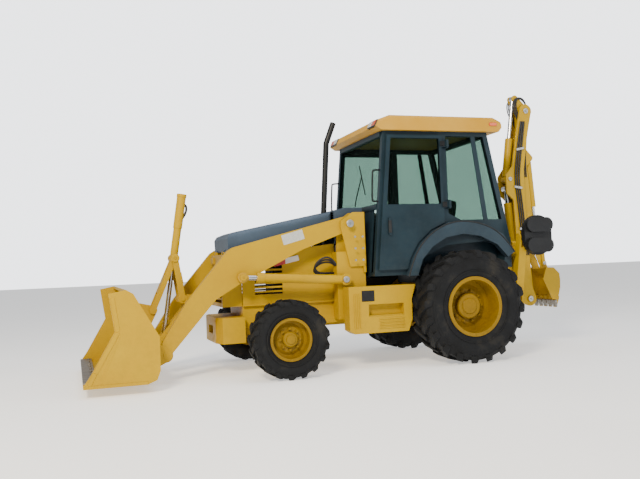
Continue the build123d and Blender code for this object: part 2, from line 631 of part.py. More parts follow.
# ------------------------------------------------------------------ cab
HINGE_Z = aft(360, 1800.0)      # heights of the door hinges
post = 60.0
with BuildPart() as cab_frame:
    # side frames: outline less its two door and quarter windows
    for y1 in (CAB_Y, -CAB_Y + post):
        with BuildSketch(to_side(y1)):
            with BuildLine():
                Polyline(*side((1092, 1050), (1258, 2648), aft(450, 2648), aft(710, 1380), arch(710, 568),
                               arch(620, 698), arch(360, 748), arch(-140, 698), arch(-520,
                        538), arch(-580, 418)), close=True)
            make_face()
            with BuildLine():
                Polyline(*side((1160, 1110), (1312, 2596), aft(-175, 2596), arch(-175, 968),
                               arch(-350, 890), arch(-515, 748), arch(-630, 563), arch(-658,
                        478)), close=True)
            make_face(mode=Mode.SUBTRACT)
            with BuildLine():
                Polyline(*side(aft(-95, 2596), aft(395, 2596), aft(600, 1620), aft(60, 1620),
                               aft(-95, 1700)), close=True)
            make_face(mode=Mode.SUBTRACT)
        extrude(amount=post)
    # cross rails: (x, z, depth, height)
    for x, z, dx, dz in ((1268, 2620, 60, 56), (1175, 1790, 30, 60), (WHEELBASE + 450, 2620, 60, 56),
                         (WHEELBASE + 675, 1420, 60, 80)):
        with Locations((FRONT_AXLE + x, 0, z)):
            Box(dx, 2 * CAB_Y - 2 * post + 10, dz)
    # floor pan, front wall under the windscreen, seat riser
    with BuildSketch(Plane.XY.offset(1010)):
        with Locations((FRONT_AXLE + (1090 + WHEELBASE - 550) / 2, 0)):
            Rectangle(WHEELBASE - 550 - 1090, 2 * CAB_Y)
        with Locations((REAR_AXLE, 0)):
            Rectangle(1300, 1080)
    extrude(amount=40)
    with BuildSketch(to_side(540)):
        with BuildLine():
            Polyline(*side((1095, 1049), (1175, 1800), (1195, 1800), (1120, 1049)), close=True)
        make_face()
    extrude(amount=1080)
    with BuildSketch(to_side(CAB_Y - 1)):
        with BuildLine():
            Polyline(*side(aft(610, 1049), aft(715, 1049), aft(715, 1400), aft(650, 1400)), close=True)
        make_face()
    extrude(amount=2 * CAB_Y - 2)
    for y1 in (540, -520):
        with BuildSketch(to_side(y1)):
            with BuildLine():
                Polyline(*side(arch(-580, 417), aft(640, 1049), arch(660, 698), arch(360, 733),
                               arch(-140, 698), arch(-500, 548)), close=True)
            make_face()
        extrude(amount=20)
    for y1 in (CAB_Y - 1, -530):
        with BuildSketch(to_side(y1)):
            with BuildLine():
                Polyline(*side(arch(-550, 488), arch(-500, 548), arch(-140, 698), arch(360, 733),
                               arch(660, 698), arch(660, 713), arch(360, 753), arch(-150, 718), arch(-525,
                        563)), close=True)
            make_face()
        extrude(amount=CAB_Y - 1 - 530)
    # carrier feet down to the frame
    for x in (WHEELBASE - 260, WHEELBASE + 280):
        with Locations((FRONT_AXLE + x, 0, 955)):
            Box(100, 620, 110)
    with BuildSketch(Plane.XY.offset(901)):
        with Locations((REAR_AXLE - 260, 0), (REAR_AXLE + 280, 0)):
            Rectangle(100, 2 * RAIL_OUT)
    extrude(amount=10)
    # door hinge brackets and pins
    for hand in (-1, 1):
        for z in HINGE_Z:
            with Locations((FRONT_AXLE + DOOR_HINGE[0], hand * (CAB_Y + DOOR_HINGE[1]) / 2, z - 41.5),
                           (FRONT_AXLE + DOOR_HINGE[0], hand * (CAB_Y + DOOR_HINGE[1]) / 2, z + 41.5)):
                Box(24, DOOR_HINGE[1] - CAB_Y + 20, 12)
            with Locations((FRONT_AXLE + DOOR_HINGE[0], hand * DOOR_HINGE[1], z)):
                Cylinder(8, 94)
cab_frame.part.label = "cab_frame"
export_step(cab_frame.part, "parts/cab_frame.step")

with BuildPart() as cab_roof:
    with BuildSketch(to_side(780)):
        with BuildLine():
            Polyline(*side((1215, 2648), (1150, 2690), (1190, 2770), (1330, 2822), aft(520, 2822),
                           aft(610, 2780), aft(620, 2700), aft(580, 2648)), close=True)
        make_face()
    extrude(amount=1560)
    fillet(cab_roof.faces().filter_by(Axis.Y).edges().filter_by(lambda e: e.center().Z > 2760), radius=45)
    # lamp recesses: (x, y, z, length, width, height)
    for x, y, z, dx, dy, dz in ((1165, 640, 2718, 90, 190, 70), (1165, -640, 2718, 90, 190, 70),
                                (WHEELBASE + 620, 620, 2740, 60, 170, 60), (WHEELBASE + 620, -620, 2740,
            60, 170, 60)):
        with Locations((FRONT_AXLE + x, y, z)):
            Box(dx, dy, dz, mode=Mode.SUBTRACT)
        with Locations((FRONT_AXLE + x + (30 if x < 2000 else -22), y, z)):
            Box(36, dy - 20, dz - 12)
cab_roof.part.label = "cab_roof"
export_step(cab_roof.part, "parts/cab_roof.step")

with BuildPart() as cab_glass:
    with BuildSketch(to_side(CAB_Y - post)):
        with BuildLine():
            Polyline(*side((1195, 1822), (1268, 2590), (1276, 2590), (1203, 1822)), close=True)
        make_face()
    extrude(amount=2 * (CAB_Y - post))
    with BuildSketch(to_side(CAB_Y - post)):
        with BuildLine():
            Polyline(*side(aft(660, 1462), aft(432, 2590), aft(424, 2590), aft(652, 1462)), close=True)
        make_face()
    extrude(amount=2 * (CAB_Y - post))
    for y1 in (CAB_Y - 26, -CAB_Y + 34):
        with BuildSketch(to_side(y1)):
            with BuildLine():
                Polyline(*side(aft(-95, 2596), aft(395, 2596), aft(600, 1620), aft(60, 1620),
                               aft(-95, 1700)), close=True)
            make_face()
        extrude(amount=8)
cab_glass.part.label = "cab_glass"
export_step(cab_glass.part, "parts/cab_glass.step")

door_line = side((1290, 2600), (1130, 1075), arch(-656, 443), arch(-623, 555), arch(-510, 739),
                 arch(-347, 882), arch(-168, 962), aft(-168, 2600))
pane_line = side((1334, 2560), (1258, 1810), aft(-210, 1810), aft(-210, 2560))
door_face = CAB_Y + 5.5
with BuildPart() as door_left:
    with BuildSketch(to_side(-door_face)):
        with BuildLine():
            Polyline(*door_line, close=True)
        make_face()
    extrude(amount=35)
    with BuildSketch(to_side(-door_face)):
        with BuildLine():
            Polyline(*pane_line, close=True)
        make_face()
    extrude(amount=35, mode=Mode.SUBTRACT)
    with BuildSketch(to_side(-door_face)):
        with BuildLine():
            Polyline(*side((1250, 1720), (1180, 1140), (1450, 1140), arch(-660, 598), arch(-550, 778),
                           arch(-385, 918), arch(-220, 998), aft(-220, 1720)), close=True)
        make_face()
    extrude(amount=20, mode=Mode.SUBTRACT)
    # handle and hinge knuckles
    with Locations((FRONT_AXLE + 1275, -door_face - 52, 1560)):
        Box(30, 16, 190)
    with Locations((FRONT_AXLE + 1275, -door_face - 42, 1480),
                   (FRONT_AXLE + 1275, -door_face - 42, 1640)):
        Box(30, 20, 24)
    for z in HINGE_Z:
        with Locations((FRONT_AXLE + DOOR_HINGE[0] - 35, -door_face - 43, z)):
            Box(85, 16, 70)
        with Locations((FRONT_AXLE + DOOR_HINGE[0], -DOOR_HINGE[1], z)):
            Cylinder(16, 70)
            Cylinder(8 + PIN_GAP, 70, mode=Mode.SUBTRACT)
with BuildPart() as door_right:
    add(door_left.part)
    mirror(about=Plane.XZ, mode=Mode.REPLACE)
with BuildPart() as door_glass_left:
    with BuildSketch(to_side(-door_face - 12)):
        with BuildLine():
            Polyline(*side((1334, 2560), (1258, 1810), aft(-210, 1810), aft(-210, 2560)), close=True)
        make_face()
    extrude(amount=8)
with BuildPart() as door_glass_right:
    add(door_glass_left.part)
    mirror(about=Plane.XZ, mode=Mode.REPLACE)
for piece, label in ((door_left, "door_left"), (door_right, "door_right"),
                     (door_glass_left, "door_glass_left"), (door_glass_right, "door_glass_right")):
    piece.part.label = label
    export_step(piece.part, f"parts/{label}.step")

# ------------------------------------------------------------------ fenders, steps, seat, controls
fender_out = side(arch(-670, 368), arch(-610, 548), arch(-500, 728), arch(-340, 868), arch(-140, 958),
                  arch(60, 980), arch(310, 938), arch(560, 808), arch(710, 598))
fender_in = side(arch(620, 538), arch(480, 688), arch(260, 793), arch(40, 823), arch(-180, 788),
                 arch(-360, 688), arch(-490, 548), arch(-560, 368))
with BuildPart() as fenders:
    for y1 in (795, -CAB_Y):
        with BuildSketch(to_side(y1)):
            with BuildLine():
                Polyline(*fender_out, *fender_in, close=True)
            make_face()
        extrude(amount=795 - CAB_Y)
fenders.part.label = "fenders"
export_step(fenders.part, "parts/fenders.step")

with BuildPart() as step_boxes:
    for hand in (-1, 1):
        y1 = 790 if hand == 1 else -ARM_OUT - 62
        with BuildSketch(to_side(y1)):
            with BuildLine():
                Polyline(*side((740, 905), (740, 430), (800, 390), arch(-700, -242), arch(-650, -112),
                               arch(-650, 108), arch(-600, 273)), close=True)
            make_face()
        extrude(amount=790 - ARM_OUT - 62)
        with Locations((FRONT_AXLE + 1180, hand * 760, 640)):
            Box(420, 120, 130, mode=Mode.SUBTRACT)
        for i in range(4):
            with Locations((FRONT_AXLE + 800 + 22 * i, hand * 793, 640)):
                Box(10, 8, 380)
        with Locations((FRONT_AXLE + 1300, hand * (RAIL_OUT + ARM_OUT + 62) / 2, 660)):
            Box(160, ARM_OUT + 62 - RAIL_OUT, 120)
step_boxes.part.label = "step_boxes"
export_step(step_boxes.part, "parts/step_boxes.step")

with BuildPart() as seat:
    with Locations((REAR_AXLE - 40, 0, 1150)):
        Box(340, 360, 200)
    with BuildSketch(to_side(240)):
        with BuildLine():
            Polyline(*side(aft(-290, 1250), aft(-300, 1330), aft(120, 1345), aft(250, 1960),
                           aft(330, 1950), aft(200, 1230)), close=True)
        make_face()
    extrude(amount=480)
    fillet(seat.edges().filter_by(Axis.Y), radius=20)
seat.part.label = "seat"
export_step(seat.part, "parts/seat.step")

with BuildPart() as controls:
    with Locations((FRONT_AXLE + 1320, 0, 1250)):
        Box(150, 260, 400)
    with BuildSketch(Plane(origin=(FRONT_AXLE + 1350, 0, 1440), z_dir=(0.45, 0, 0.9))):
        Circle(32)
    extrude(amount=275)
    with BuildSketch(Plane(origin=(FRONT_AXLE + 1350 + 117, 0, 1440 + 234), z_dir=(0.45, 0, 0.9))):
        Circle(200)
        Circle(172, mode=Mode.SUBTRACT)
        Rectangle(352, 30)
    extrude(amount=26)
controls.part.label = "controls"
export_step(controls.part, "parts/controls.step")

# ------------------------------------------------------------------ rear frame
PLATE_X, PLATE_T = FRAME_REAR, 34.0
pin_x0, pin_x1 = PLATE_X + PLATE_T - 4, LEG_X + 49
with BuildPart() as rear_frame:
    with BuildSketch(Plane.YZ.offset(FRONT_AXLE + PLATE_X)):
        with BuildLine():
            Polyline((-700, 510), (-700, 690), (-360, 760), (-360, 1180), (-660, 1260), (-660, 1375),
                     (660, 1375), (660, 1260),
                     (360, 1180), (360, 760), (700, 690), (700, 510), close=True)
        make_face()
    extrude(amount=PLATE_T)
    with Locations((REAR_AXLE + 795, 0, 790)):
        Box(90, 400, 540)
    for z0, z1 in ((540, 590), (980, 1030)):
        with BuildSketch(Plane.XY.offset(z0)):
            with BuildLine():
                Polyline((REAR_AXLE + 750, -200), (REAR_AXLE + 910, -72), (FRONT_AXLE + SWING_X, -72),
                         (FRONT_AXLE + SWING_X, 72), (REAR_AXLE + 910, 72), (REAR_AXLE + 750,
                        200), close=True)
            make_face()
            with Locations((FRONT_AXLE + SWING_X, 0)):
                Circle(75)
        extrude(amount=z1 - z0)
    with Locations((FRONT_AXLE + SWING_X, 0, 788)):
        Cylinder(SWING_PIN_R, 520)
    for hand in (-1, 1):
        for y, z, r in ((LEG_Y, LEG_Z, 25), (600, 1320, 20)):
            with Locations((FRONT_AXLE + (pin_x0 + pin_x1) / 2, hand * y, z)):
                Cylinder(r, pin_x1 - pin_x0, rotation=(0, 90, 0))
rear_frame.part.label = "rear_frame"
export_step(rear_frame.part, "parts/rear_frame.step")

# ------------------------------------------------------------------ stabilisers
LEG_LEN = math.hypot(FOOT_Y - LEG_Y, FOOT_Z - LEG_Z)
leg_up = math.atan2(FOOT_Z - LEG_Z, FOOT_Y - LEG_Y)
STAB_BASE = (600.0, 1320.0)
STAB_EYE = (LEG_Y + 170 * math.cos(leg_up), LEG_Z + 170 * math.sin(leg_up))
stab_run = math.hypot(STAB_EYE[0] - STAB_BASE[0], STAB_EYE[1] - STAB_BASE[1])


def across(y, z, dy, dz, x=LEG_X):
    """Plane at (y, z) on the right-hand side looking along (dy, dz), local x to the rear."""
    return Plane(origin=(FRONT_AXLE + x, y, z), x_dir=(1, 0, 0), z_dir=(0, dy, dz))


with BuildPart() as stabiliser_leg_right:
    for x0, x1 in ((LEG_X - 50, LEG_X - 34), (LEG_X + 34, LEG_X + 50)):
        with BuildSketch(Plane.YZ.offset(FRONT_AXLE + x0)):
            for y, z, r in ((LEG_Y, LEG_Z, 52), (FOOT_Y, FOOT_Z, 42)):
                with Locations((y, z)):
                    Circle(r)
            make_hull()
            with Locations((LEG_Y, LEG_Z)):
                Circle(25 + PIN_GAP, mode=Mode.SUBTRACT)
        extrude(amount=x1 - x0)
    # back plate between the two sides, set 40 behind their middle line
    out_y, out_z = math.sin(leg_up), -math.cos(leg_up)
    plate_y = LEG_Y + 0.55 * (FOOT_Y - LEG_Y) + 40 * out_y
    plate_z = LEG_Z + 0.55 * (FOOT_Z - LEG_Z) + 40 * out_z
    with BuildSketch(Plane(origin=(FRONT_AXLE + LEG_X, plate_y, plate_z), x_dir=(1, 0, 0),
                           z_dir=(0, out_y, out_z))):
        Rectangle(92, LEG_LEN * 0.62)
    extrude(amount=8)
    with Locations((FRONT_AXLE + LEG_X, FOOT_Y, FOOT_Z)):
        Cylinder(20, 98, rotation=(0, 90, 0))
with BuildPart() as stabiliser_foot_right:
    with Locations((FRONT_AXLE + LEG_X, FOOT_Y, FOOT_Z)):
        Cylinder(40, 60, rotation=(0, 90, 0))
    with Locations((FRONT_AXLE + LEG_X, FOOT_Y + 45, FOOT_Z)):
        Box(60, 60, 80)
    with BuildSketch(Plane(origin=(FRONT_AXLE + LEG_X + 145, FOOT_Y + 62, FOOT_Z + 12), x_dir=(1, 0, 0),
                           z_dir=(0, 1, 0))):
        SlotOverall(470, 370, rotation=90)
    extrude(amount=60)
    for dz in (-120, 120):
        with BuildSketch(Plane(origin=(FRONT_AXLE + LEG_X + 145, FOOT_Y + 122, FOOT_Z + 12),
                               x_dir=(1, 0, 0), z_dir=(0, 1, 0))):
            with Locations((0, dz)):
                SlotOverall(350, 170)
        extrude(amount=50)
    with Locations((FRONT_AXLE + LEG_X, FOOT_Y, FOOT_Z)):
        Cylinder(20 + PIN_GAP, 70, rotation=(0, 90, 0), mode=Mode.SUBTRACT)
with BuildPart() as stabiliser_cylinder_right:
    run = across(*STAB_BASE, STAB_EYE[0] - STAB_BASE[0], STAB_EYE[1] - STAB_BASE[1])
    with BuildSketch(run.offset(30)):
        Circle(32)
    extrude(amount=stab_run - 130)
    with Locations((FRONT_AXLE + LEG_X, *STAB_BASE)):
        Cylinder(38, 60, rotation=(0, 90, 0))
        Cylinder(20 + PIN_GAP, 70, rotation=(0, 90, 0), mode=Mode.SUBTRACT)
    with BuildSketch(run.offset(45)):
        Circle(18.4)
    extrude(amount=stab_run, mode=Mode.SUBTRACT)
with BuildPart() as stabiliser_rod_right:
    with BuildSketch(run.offset(60)):
        Circle(18)
    extrude(amount=stab_run - 80)
    with Locations((FRONT_AXLE + LEG_X, *STAB_EYE)):
        Cylinder(32, 50, rotation=(0, 90, 0))
        Cylinder(18, 67, rotation=(0, 90, 0))
for piece, label in ((stabiliser_leg_right, "stabiliser_leg"), (stabiliser_foot_right, "stabiliser_foot"),
                     (stabiliser_cylinder_right, "stabiliser_cylinder"), (stabiliser_rod_right,
                             "stabiliser_rod")):
    other = BuildPart()
    with other:
        add(piece.part)
        mirror(about=Plane.XZ, mode=Mode.REPLACE)
    for half, hand in ((piece, "right"), (other, "left")):
        half.part.label = f"{label}_{hand}"
        export_step(half.part, f"parts/{label}_{hand}.step")

# ------------------------------------------------------------------ swing post
with BuildPart() as swing_post:
    with Locations((FRONT_AXLE + SWING_X, 0, 785)):
        Cylinder(82, 378)
    with Locations((FRONT_AXLE + SWING_X + 60, 0, 765)):
        Box(70, 232, 330)
    for y1 in (145, -115):
        with BuildSketch(to_side(y1)):
            for place, r in ((BOOM_FOOT, 92), (BOOM_CYL, 44), ((SWING_X + 60, 640), 30),
                             ((SWING_X + 75, 860), 25)):
                with Locations(side(place)[0]):
                    Circle(r)
            make_hull()
        extrude(amount=30)
    for place, r in ((BOOM_FOOT, 40), (BOOM_CYL, HOE_PIN_R)):
        with Locations((FRONT_AXLE + place[0], 0, place[1])):
            Cylinder(r, 320, rotation=(90, 0, 0))
    with Locations((FRONT_AXLE + SWING_X, 0, 785)):
        Cylinder(SWING_PIN_R + PIN_GAP, 400, mode=Mode.SUBTRACT)
swing_post.part.label = "swing_post"
export_step(swing_post.part, "parts/swing_post.step")

# ------------------------------------------------------------------ boom, dipper
with BuildPart() as boom:
    for y1 in (104, -80):
        with BuildSketch(to_side(y1)):
            with BuildLine():
                Polyline(*side(aft(1245, 620), aft(1285, 930), aft(1285, 1060), aft(1205, 1130),
                               aft(1178, 1900), aft(1085, 1985), aft(1085, 2215), aft(1182,
                        2340), aft(1255, 2700), aft(1338, 3090),
                               aft(1500, 3030), aft(1423, 2700), aft(1354, 2300), aft(1352,
                                       1900), aft(1380, 1100), aft(1415, 640)), close=True)
            make_face()
            for place, r in ((BOOM_FOOT, 86), (BOOM_HEAD, 88)):
                with Locations(side(place)[0]):
                    Circle(r)
            for place, r in ((BOOM_FOOT, 40),):
                with Locations(side(place)[0]):
                    Circle(r + PIN_GAP, mode=Mode.SUBTRACT)
        extrude(amount=24)
    with BuildSketch(to_side(82)):
        with BuildLine():
            Polyline(*side(aft(1332, 2380), aft(1332, 1900), aft(1358, 1100), aft(1380, 800),
                           aft(1400, 800), aft(1379, 1100), aft(1352, 1900), aft(1354, 2300), aft(1354,
                    2380)), close=True)
        make_face()
    extrude(amount=164)
    # head pin and crowd cylinder pin
    for place, r in ((BOOM_HEAD, 35), (CROWD_CYL, 25)):
        with Locations((FRONT_AXLE + place[0], 0, place[1])):
            Cylinder(r, 220, rotation=(90, 0, 0))
boom.part.label = "boom"
export_step(boom.part, "parts/boom.step")

ROCKER_PIN = aft(1480, 1500.0)
EAR_LEN, EAR_ANG = 200.0, math.radians(-65)
BUCKET_EAR = (DIPPER_TIP[0] + EAR_LEN * math.cos(EAR_ANG), DIPPER_TIP[1] + EAR_LEN * math.sin(EAR_ANG))
ROCKER_EYE = (ROCKER_PIN[0] + EAR_LEN * math.cos(EAR_ANG), ROCKER_PIN[1] + EAR_LEN * math.sin(EAR_ANG))
CURL_CYL = aft(1485, 2450.0)
with BuildPart() as dipper:
    with BuildSketch(to_side(60)):
        with BuildLine():
            Polyline(*side(aft(1358, 3060), aft(1360, 2400), aft(1362, 1900), aft(1448, 1250),
                           aft(1500, 1250), aft(1520, 1300), aft(1508, 1500), aft(1472, 1750), aft(1460,
                    2000), aft(1436, 2300), aft(1434, 2540), aft(1492, 3050)), close=True)
        make_face()
        for place, r in ((BOOM_HEAD, 75), (DIPPER_TIP, 55)):
            with Locations(side(place)[0]):
                Circle(r)
    extrude(amount=120)
    for y1 in (60, -40):
        with BuildSketch(to_side(y1)):
            for place, r in ((BOOM_HEAD, 74), (CROWD_EYE, 42)):
                with Locations(side(place)[0]):
                    Circle(r)
            make_hull()
        extrude(amount=20)
    for y1 in (60, -44):
        with BuildSketch(to_side(y1)):
            for place, r in ((aft(1420, 2560), 12), (CURL_CYL, 40), (aft(1420, 2350), 12)):
                with Locations(side(place)[0]):
                    Circle(r)
            make_hull()
        extrude(amount=16)
    with Locations((FRONT_AXLE + CURL_CYL[0], 0, CURL_CYL[1])):
        Cylinder(25, 110, rotation=(90, 0, 0))
    with Locations((FRONT_AXLE + ROCKER_PIN[0], 0, ROCKER_PIN[1])):
        Cylinder(25, 164, rotation=(90, 0, 0))
    with Locations((FRONT_AXLE + DIPPER_TIP[0], 0, DIPPER_TIP[1])):
        Cylinder(50, 156, rotation=(90, 0, 0))
    for place, r in ((BOOM_HEAD, 35), (DIPPER_TIP, HOE_PIN_R)):
        with Locations((FRONT_AXLE + place[0], 0, place[1])):
            Cylinder(r + PIN_GAP, 200, rotation=(90, 0, 0), mode=Mode.SUBTRACT)
dipper.part.label = "dipper"
export_step(dipper.part, "parts/dipper.step")

# ------------------------------------------------------------------ hoe bucket and its links
half_hoe = HOE_W / 2
hoe_skin = side(aft(1535, 1014), aft(1645, 1008), aft(1726, 930), aft(1735, 850), aft(1730, 750),
                aft(1685, 590))
with BuildPart() as hoe_bucket:
    with BuildSketch(to_side(half_hoe)):
        with BuildLine():
            Polyline(*hoe_skin, *side(aft(1665, 596), aft(1710, 753), aft(1715, 850), aft(1708, 922),
                                      aft(1636, 990), aft(1535, 996)), close=True)
        make_face()
    extrude(amount=HOE_W)
    for y1 in (half_hoe, -half_hoe + 16):
        with BuildSketch(to_side(y1)):
            with BuildLine():
                Polyline(*hoe_skin, *side(aft(1610, 600), aft(1480, 870)), close=True)
            make_face()
        extrude(amount=16)
    # teeth
    for i in range(5):
        with BuildSketch(to_side(-half_hoe + 58 + i * (HOE_W - 58) / 4)):
            with BuildLine():
                Polyline(*side(aft(1660, 640), aft(1650, 500), aft(1660, 498), aft(1702, 600),
                               aft(1706, 640)), close=True)
            make_face()
        extrude(amount=58)
    for y1 in (98, -82):
        with BuildSketch(to_side(y1)):
            for place, r in ((DIPPER_TIP, 50), (BUCKET_EAR, 42), (aft(1550, 1004), 5),
                             (aft(1645, 1000), 5)):
                with Locations(side(place)[0]):
                    Circle(r)
            make_hull()
        extrude(amount=16)
    with Locations((FRONT_AXLE + DIPPER_TIP[0], 0, DIPPER_TIP[1])):
        Cylinder(HOE_PIN_R, 210, rotation=(90, 0, 0))
    for hand in (-1, 1):
        with Locations((FRONT_AXLE + BUCKET_EAR[0], hand * 105, BUCKET_EAR[1])):
            Cylinder(22, 30, rotation=(90, 0, 0))
hoe_bucket.part.label = "hoe_bucket"
export_step(hoe_bucket.part, "parts/hoe_bucket.step")

for name, foot, head, y_in, y_out, foot_r, head_r in (("hoe_rocker", ROCKER_PIN, ROCKER_EYE, 64.0, 78.0,
                                                       25.0, 0.0), ("hoe_link", ROCKER_EYE, BUCKET_EAR,
        102.0, 114.0, 22.0, 22.0)):
    with BuildPart() as link:
        for y1 in (y_out, -y_in):
            with BuildSketch(to_side(y1)):
                for place in (foot, head):
                    with Locations(side(place)[0]):
                        Circle(36)
                with Locations(side(((foot[0] + head[0]) / 2, (foot[1] + head[1]) / 2))[0]):
                    Rectangle(reach(foot, head), 46, rotation=turn(foot, head))
                for place, r in ((foot, foot_r), (head, head_r)):
                    if r:
                        with Locations(side(place)[0]):
                            Circle(r + PIN_GAP, mode=Mode.SUBTRACT)
            extrude(amount=y_out - y_in)
        if not head_r:
            for hand in (-1, 1):
                with Locations((FRONT_AXLE + head[0], hand * 96, head[1])):
                    Cylinder(22, 38, rotation=(90, 0, 0))
    link.part.label = name
    export_step(link.part, f"parts/{name}.step")

# ------------------------------------------------------------------ hoe cylinders
# columns: name, base, rod eye, tube radius, rod radius, tube end from the base, rod tail, base eye radius,
#          base pin radius, half width of the base eye, rod eye radius, half width of the rod eye, stub reach
HOE_CYLINDERS = [
    ("boom", BOOM_CYL, BOOM_EYE, 55.0, 30.0, 870.0, 85.0, 52.0, HOE_PIN_R, 56.0, 48.0, 40.0, 79.5),
    ("crowd", CROWD_CYL, CROWD_EYE, 50.0, 28.0, 540.0, 440.0, 46.0, 25.0, 48.0, 36.0, 30.0, 39.5),
    ("bucket", CURL_CYL, ROCKER_EYE, 42.0, 24.0, 640.0, 440.0, 38.0, 25.0, 36.0, 34.0, 30.0, 63.5),
]
for name, base, eye, tube_r, rod_r, tube_end, tail, base_r, *rest in HOE_CYLINDERS:
    pin_r, base_w, eye_r, eye_w, stub = rest
    run, line = reach(base, eye), along(base, eye, 0)
    with BuildPart() as tube:
        with BuildSketch(line.offset(base_r * 0.8)):
            Circle(tube_r)
        extrude(amount=tube_end - base_r * 0.8)
        with Locations((FRONT_AXLE + base[0], 0, base[1])):
            Cylinder(base_r, 2 * base_w, rotation=(90, 0, 0))
            Cylinder(pin_r + PIN_GAP, 2 * base_w + 10, rotation=(90, 0, 0), mode=Mode.SUBTRACT)
        with BuildSketch(line.offset(base_r + 12)):
            Circle(rod_r + 0.4)
        extrude(amount=run, mode=Mode.SUBTRACT)
    tube.part.label = f"{name}_cylinder"
    export_step(tube.part, f"parts/{name}_cylinder.step")
    with BuildPart() as rod:
        with BuildSketch(line.offset(tail)):
            Circle(rod_r)
        extrude(amount=run - tail - 10)
        with Locations((FRONT_AXLE + eye[0], 0, eye[1])):
            Cylinder(eye_r, 2 * eye_w, rotation=(90, 0, 0))
            Cylinder(rod_r * 0.8, 2 * stub, rotation=(90, 0, 0))
    rod.part.label = f"{name}_rod"
    export_step(rod.part, f"parts/{name}_rod.step")
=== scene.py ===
import math

import bmesh
import bpy
from mathutils import Matrix, Vector


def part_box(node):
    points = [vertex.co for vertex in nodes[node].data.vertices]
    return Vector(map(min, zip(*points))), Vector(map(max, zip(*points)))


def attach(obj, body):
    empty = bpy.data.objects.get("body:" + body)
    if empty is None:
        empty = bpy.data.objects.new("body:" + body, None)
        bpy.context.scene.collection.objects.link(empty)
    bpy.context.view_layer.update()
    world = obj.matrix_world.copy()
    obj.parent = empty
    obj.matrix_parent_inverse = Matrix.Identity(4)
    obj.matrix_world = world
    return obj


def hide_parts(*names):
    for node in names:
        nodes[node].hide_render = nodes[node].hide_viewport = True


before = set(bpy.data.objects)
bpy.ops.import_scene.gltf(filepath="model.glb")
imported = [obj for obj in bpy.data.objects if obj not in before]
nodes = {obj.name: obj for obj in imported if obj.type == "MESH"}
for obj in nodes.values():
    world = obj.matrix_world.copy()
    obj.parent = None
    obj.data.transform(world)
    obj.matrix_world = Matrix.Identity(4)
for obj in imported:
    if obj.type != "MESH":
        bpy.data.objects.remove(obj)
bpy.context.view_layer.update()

# ------------------------------------------------------------------ viewpoint, floor and light
# A standing person's view of the machine's left side, a little towards its nose, on a
# seamless floor of pale painted concrete under a large soft sky lamp and a warm key lamp.
camera = bpy.data.objects.new("camera", bpy.data.cameras.new("camera"))
bpy.context.collection.objects.link(camera)
camera.location = (-3.02, -8.378, 1.178)
camera.rotation_euler = [math.radians(angle) for angle in (91.85, 2.29, -18.42)]
camera.data.lens = 41.78
bpy.context.scene.camera = camera


def linear(hex_colour):
    """An sRGB hex colour as the linear RGBA that sockets hold."""
    parts = [int(hex_colour[i:i + 2], 16) / 255 for i in (1, 3, 5)]
    return [c / 12.92 if c <= 0.04045 else ((c + 0.055) / 1.055) ** 2.4 for c in parts] + [1.0]


def add(material, kind, values=None, links=None, stops=(), **settings):
    """Adds a node of that kind and gives it back.

    Values go on its sockets and settings on the node itself. A link comes from another node's
    socket, or from a node, which stands for its first output. Stops are a colour ramp's
    (position, hex colour) pairs.
    """
    node = material.node_tree.nodes.new(kind)
    for key, value in settings.items():
        setattr(node, key, value)
    for key, value in (values or {}).items():
        node.inputs[key].default_value = value
    for key, source in (links or {}).items():
        if isinstance(source, bpy.types.Node):
            source = source.outputs[0]
        material.node_tree.links.new(source, node.inputs[key])
    for number, (position, colour) in enumerate(stops):
        elements = node.color_ramp.elements
        if number == len(elements):
            elements.new(1.0)
        elements[number].position = position
        elements[number].color = linear(colour)
    return node


def new_material(name):
    """An empty node material, and the object coordinates that its patterns lie on."""
    material = bpy.data.materials.new(name)
    material.use_nodes = True
    material.node_tree.nodes.clear()
    return material, add(material, "ShaderNodeTexCoord").outputs["Object"]


def finish_shader(material, shader):
    """Puts the shader on the surface and gives the material back."""
    add(material, "ShaderNodeOutputMaterial", links={"Surface": shader})
    return material


# painted concrete: pale, matt, faintly mottled over a metre or two, and lit evenly by a weak
# glow of its own
concrete, where = new_material("painted concrete")
mottle = add(concrete, "ShaderNodeTexNoise", {"Scale": 0.6, "Detail": 4.0}, {"Vector": where})
tint = add(concrete, "ShaderNodeValToRGB", links={"Fac": mottle}, stops=((0.3, "#F1F1EF"), (0.7, "#F6F6F5")))
glow = {"Roughness": 0.9, "Emission Color": linear("#FFFFFF"), "Emission Strength": 0.53}
finish_shader(concrete, add(concrete, "ShaderNodeBsdfPrincipled", glow, {"Base Color": tint}))

floor_mesh = bmesh.new()
bmesh.ops.create_grid(floor_mesh, x_segments=4, y_segments=4, size=60.0)
floor = bpy.data.objects.new("studio_floor", bpy.data.meshes.new("studio_floor"))
floor_mesh.to_mesh(floor.data)
floor_mesh.free()
bpy.context.collection.objects.link(floor)
floor.data.materials.append(concrete)

world = bpy.data.worlds.new("studio air")
bpy.context.scene.world = world
world.use_nodes = True
air = world.node_tree.nodes["Background"]
air.inputs["Color"].default_value = linear("#F4F6FA")
# a bright seamless backdrop to the eye, a softer light on the machine
eye = add(world, "ShaderNodeLightPath").outputs["Is Camera Ray"]
strength = add(world, "ShaderNodeMapRange", {"To Min": 0.55, "To Max": 3.4}, {"Value": eye})
world.node_tree.links.new(strength.outputs["Result"], air.inputs["Strength"])
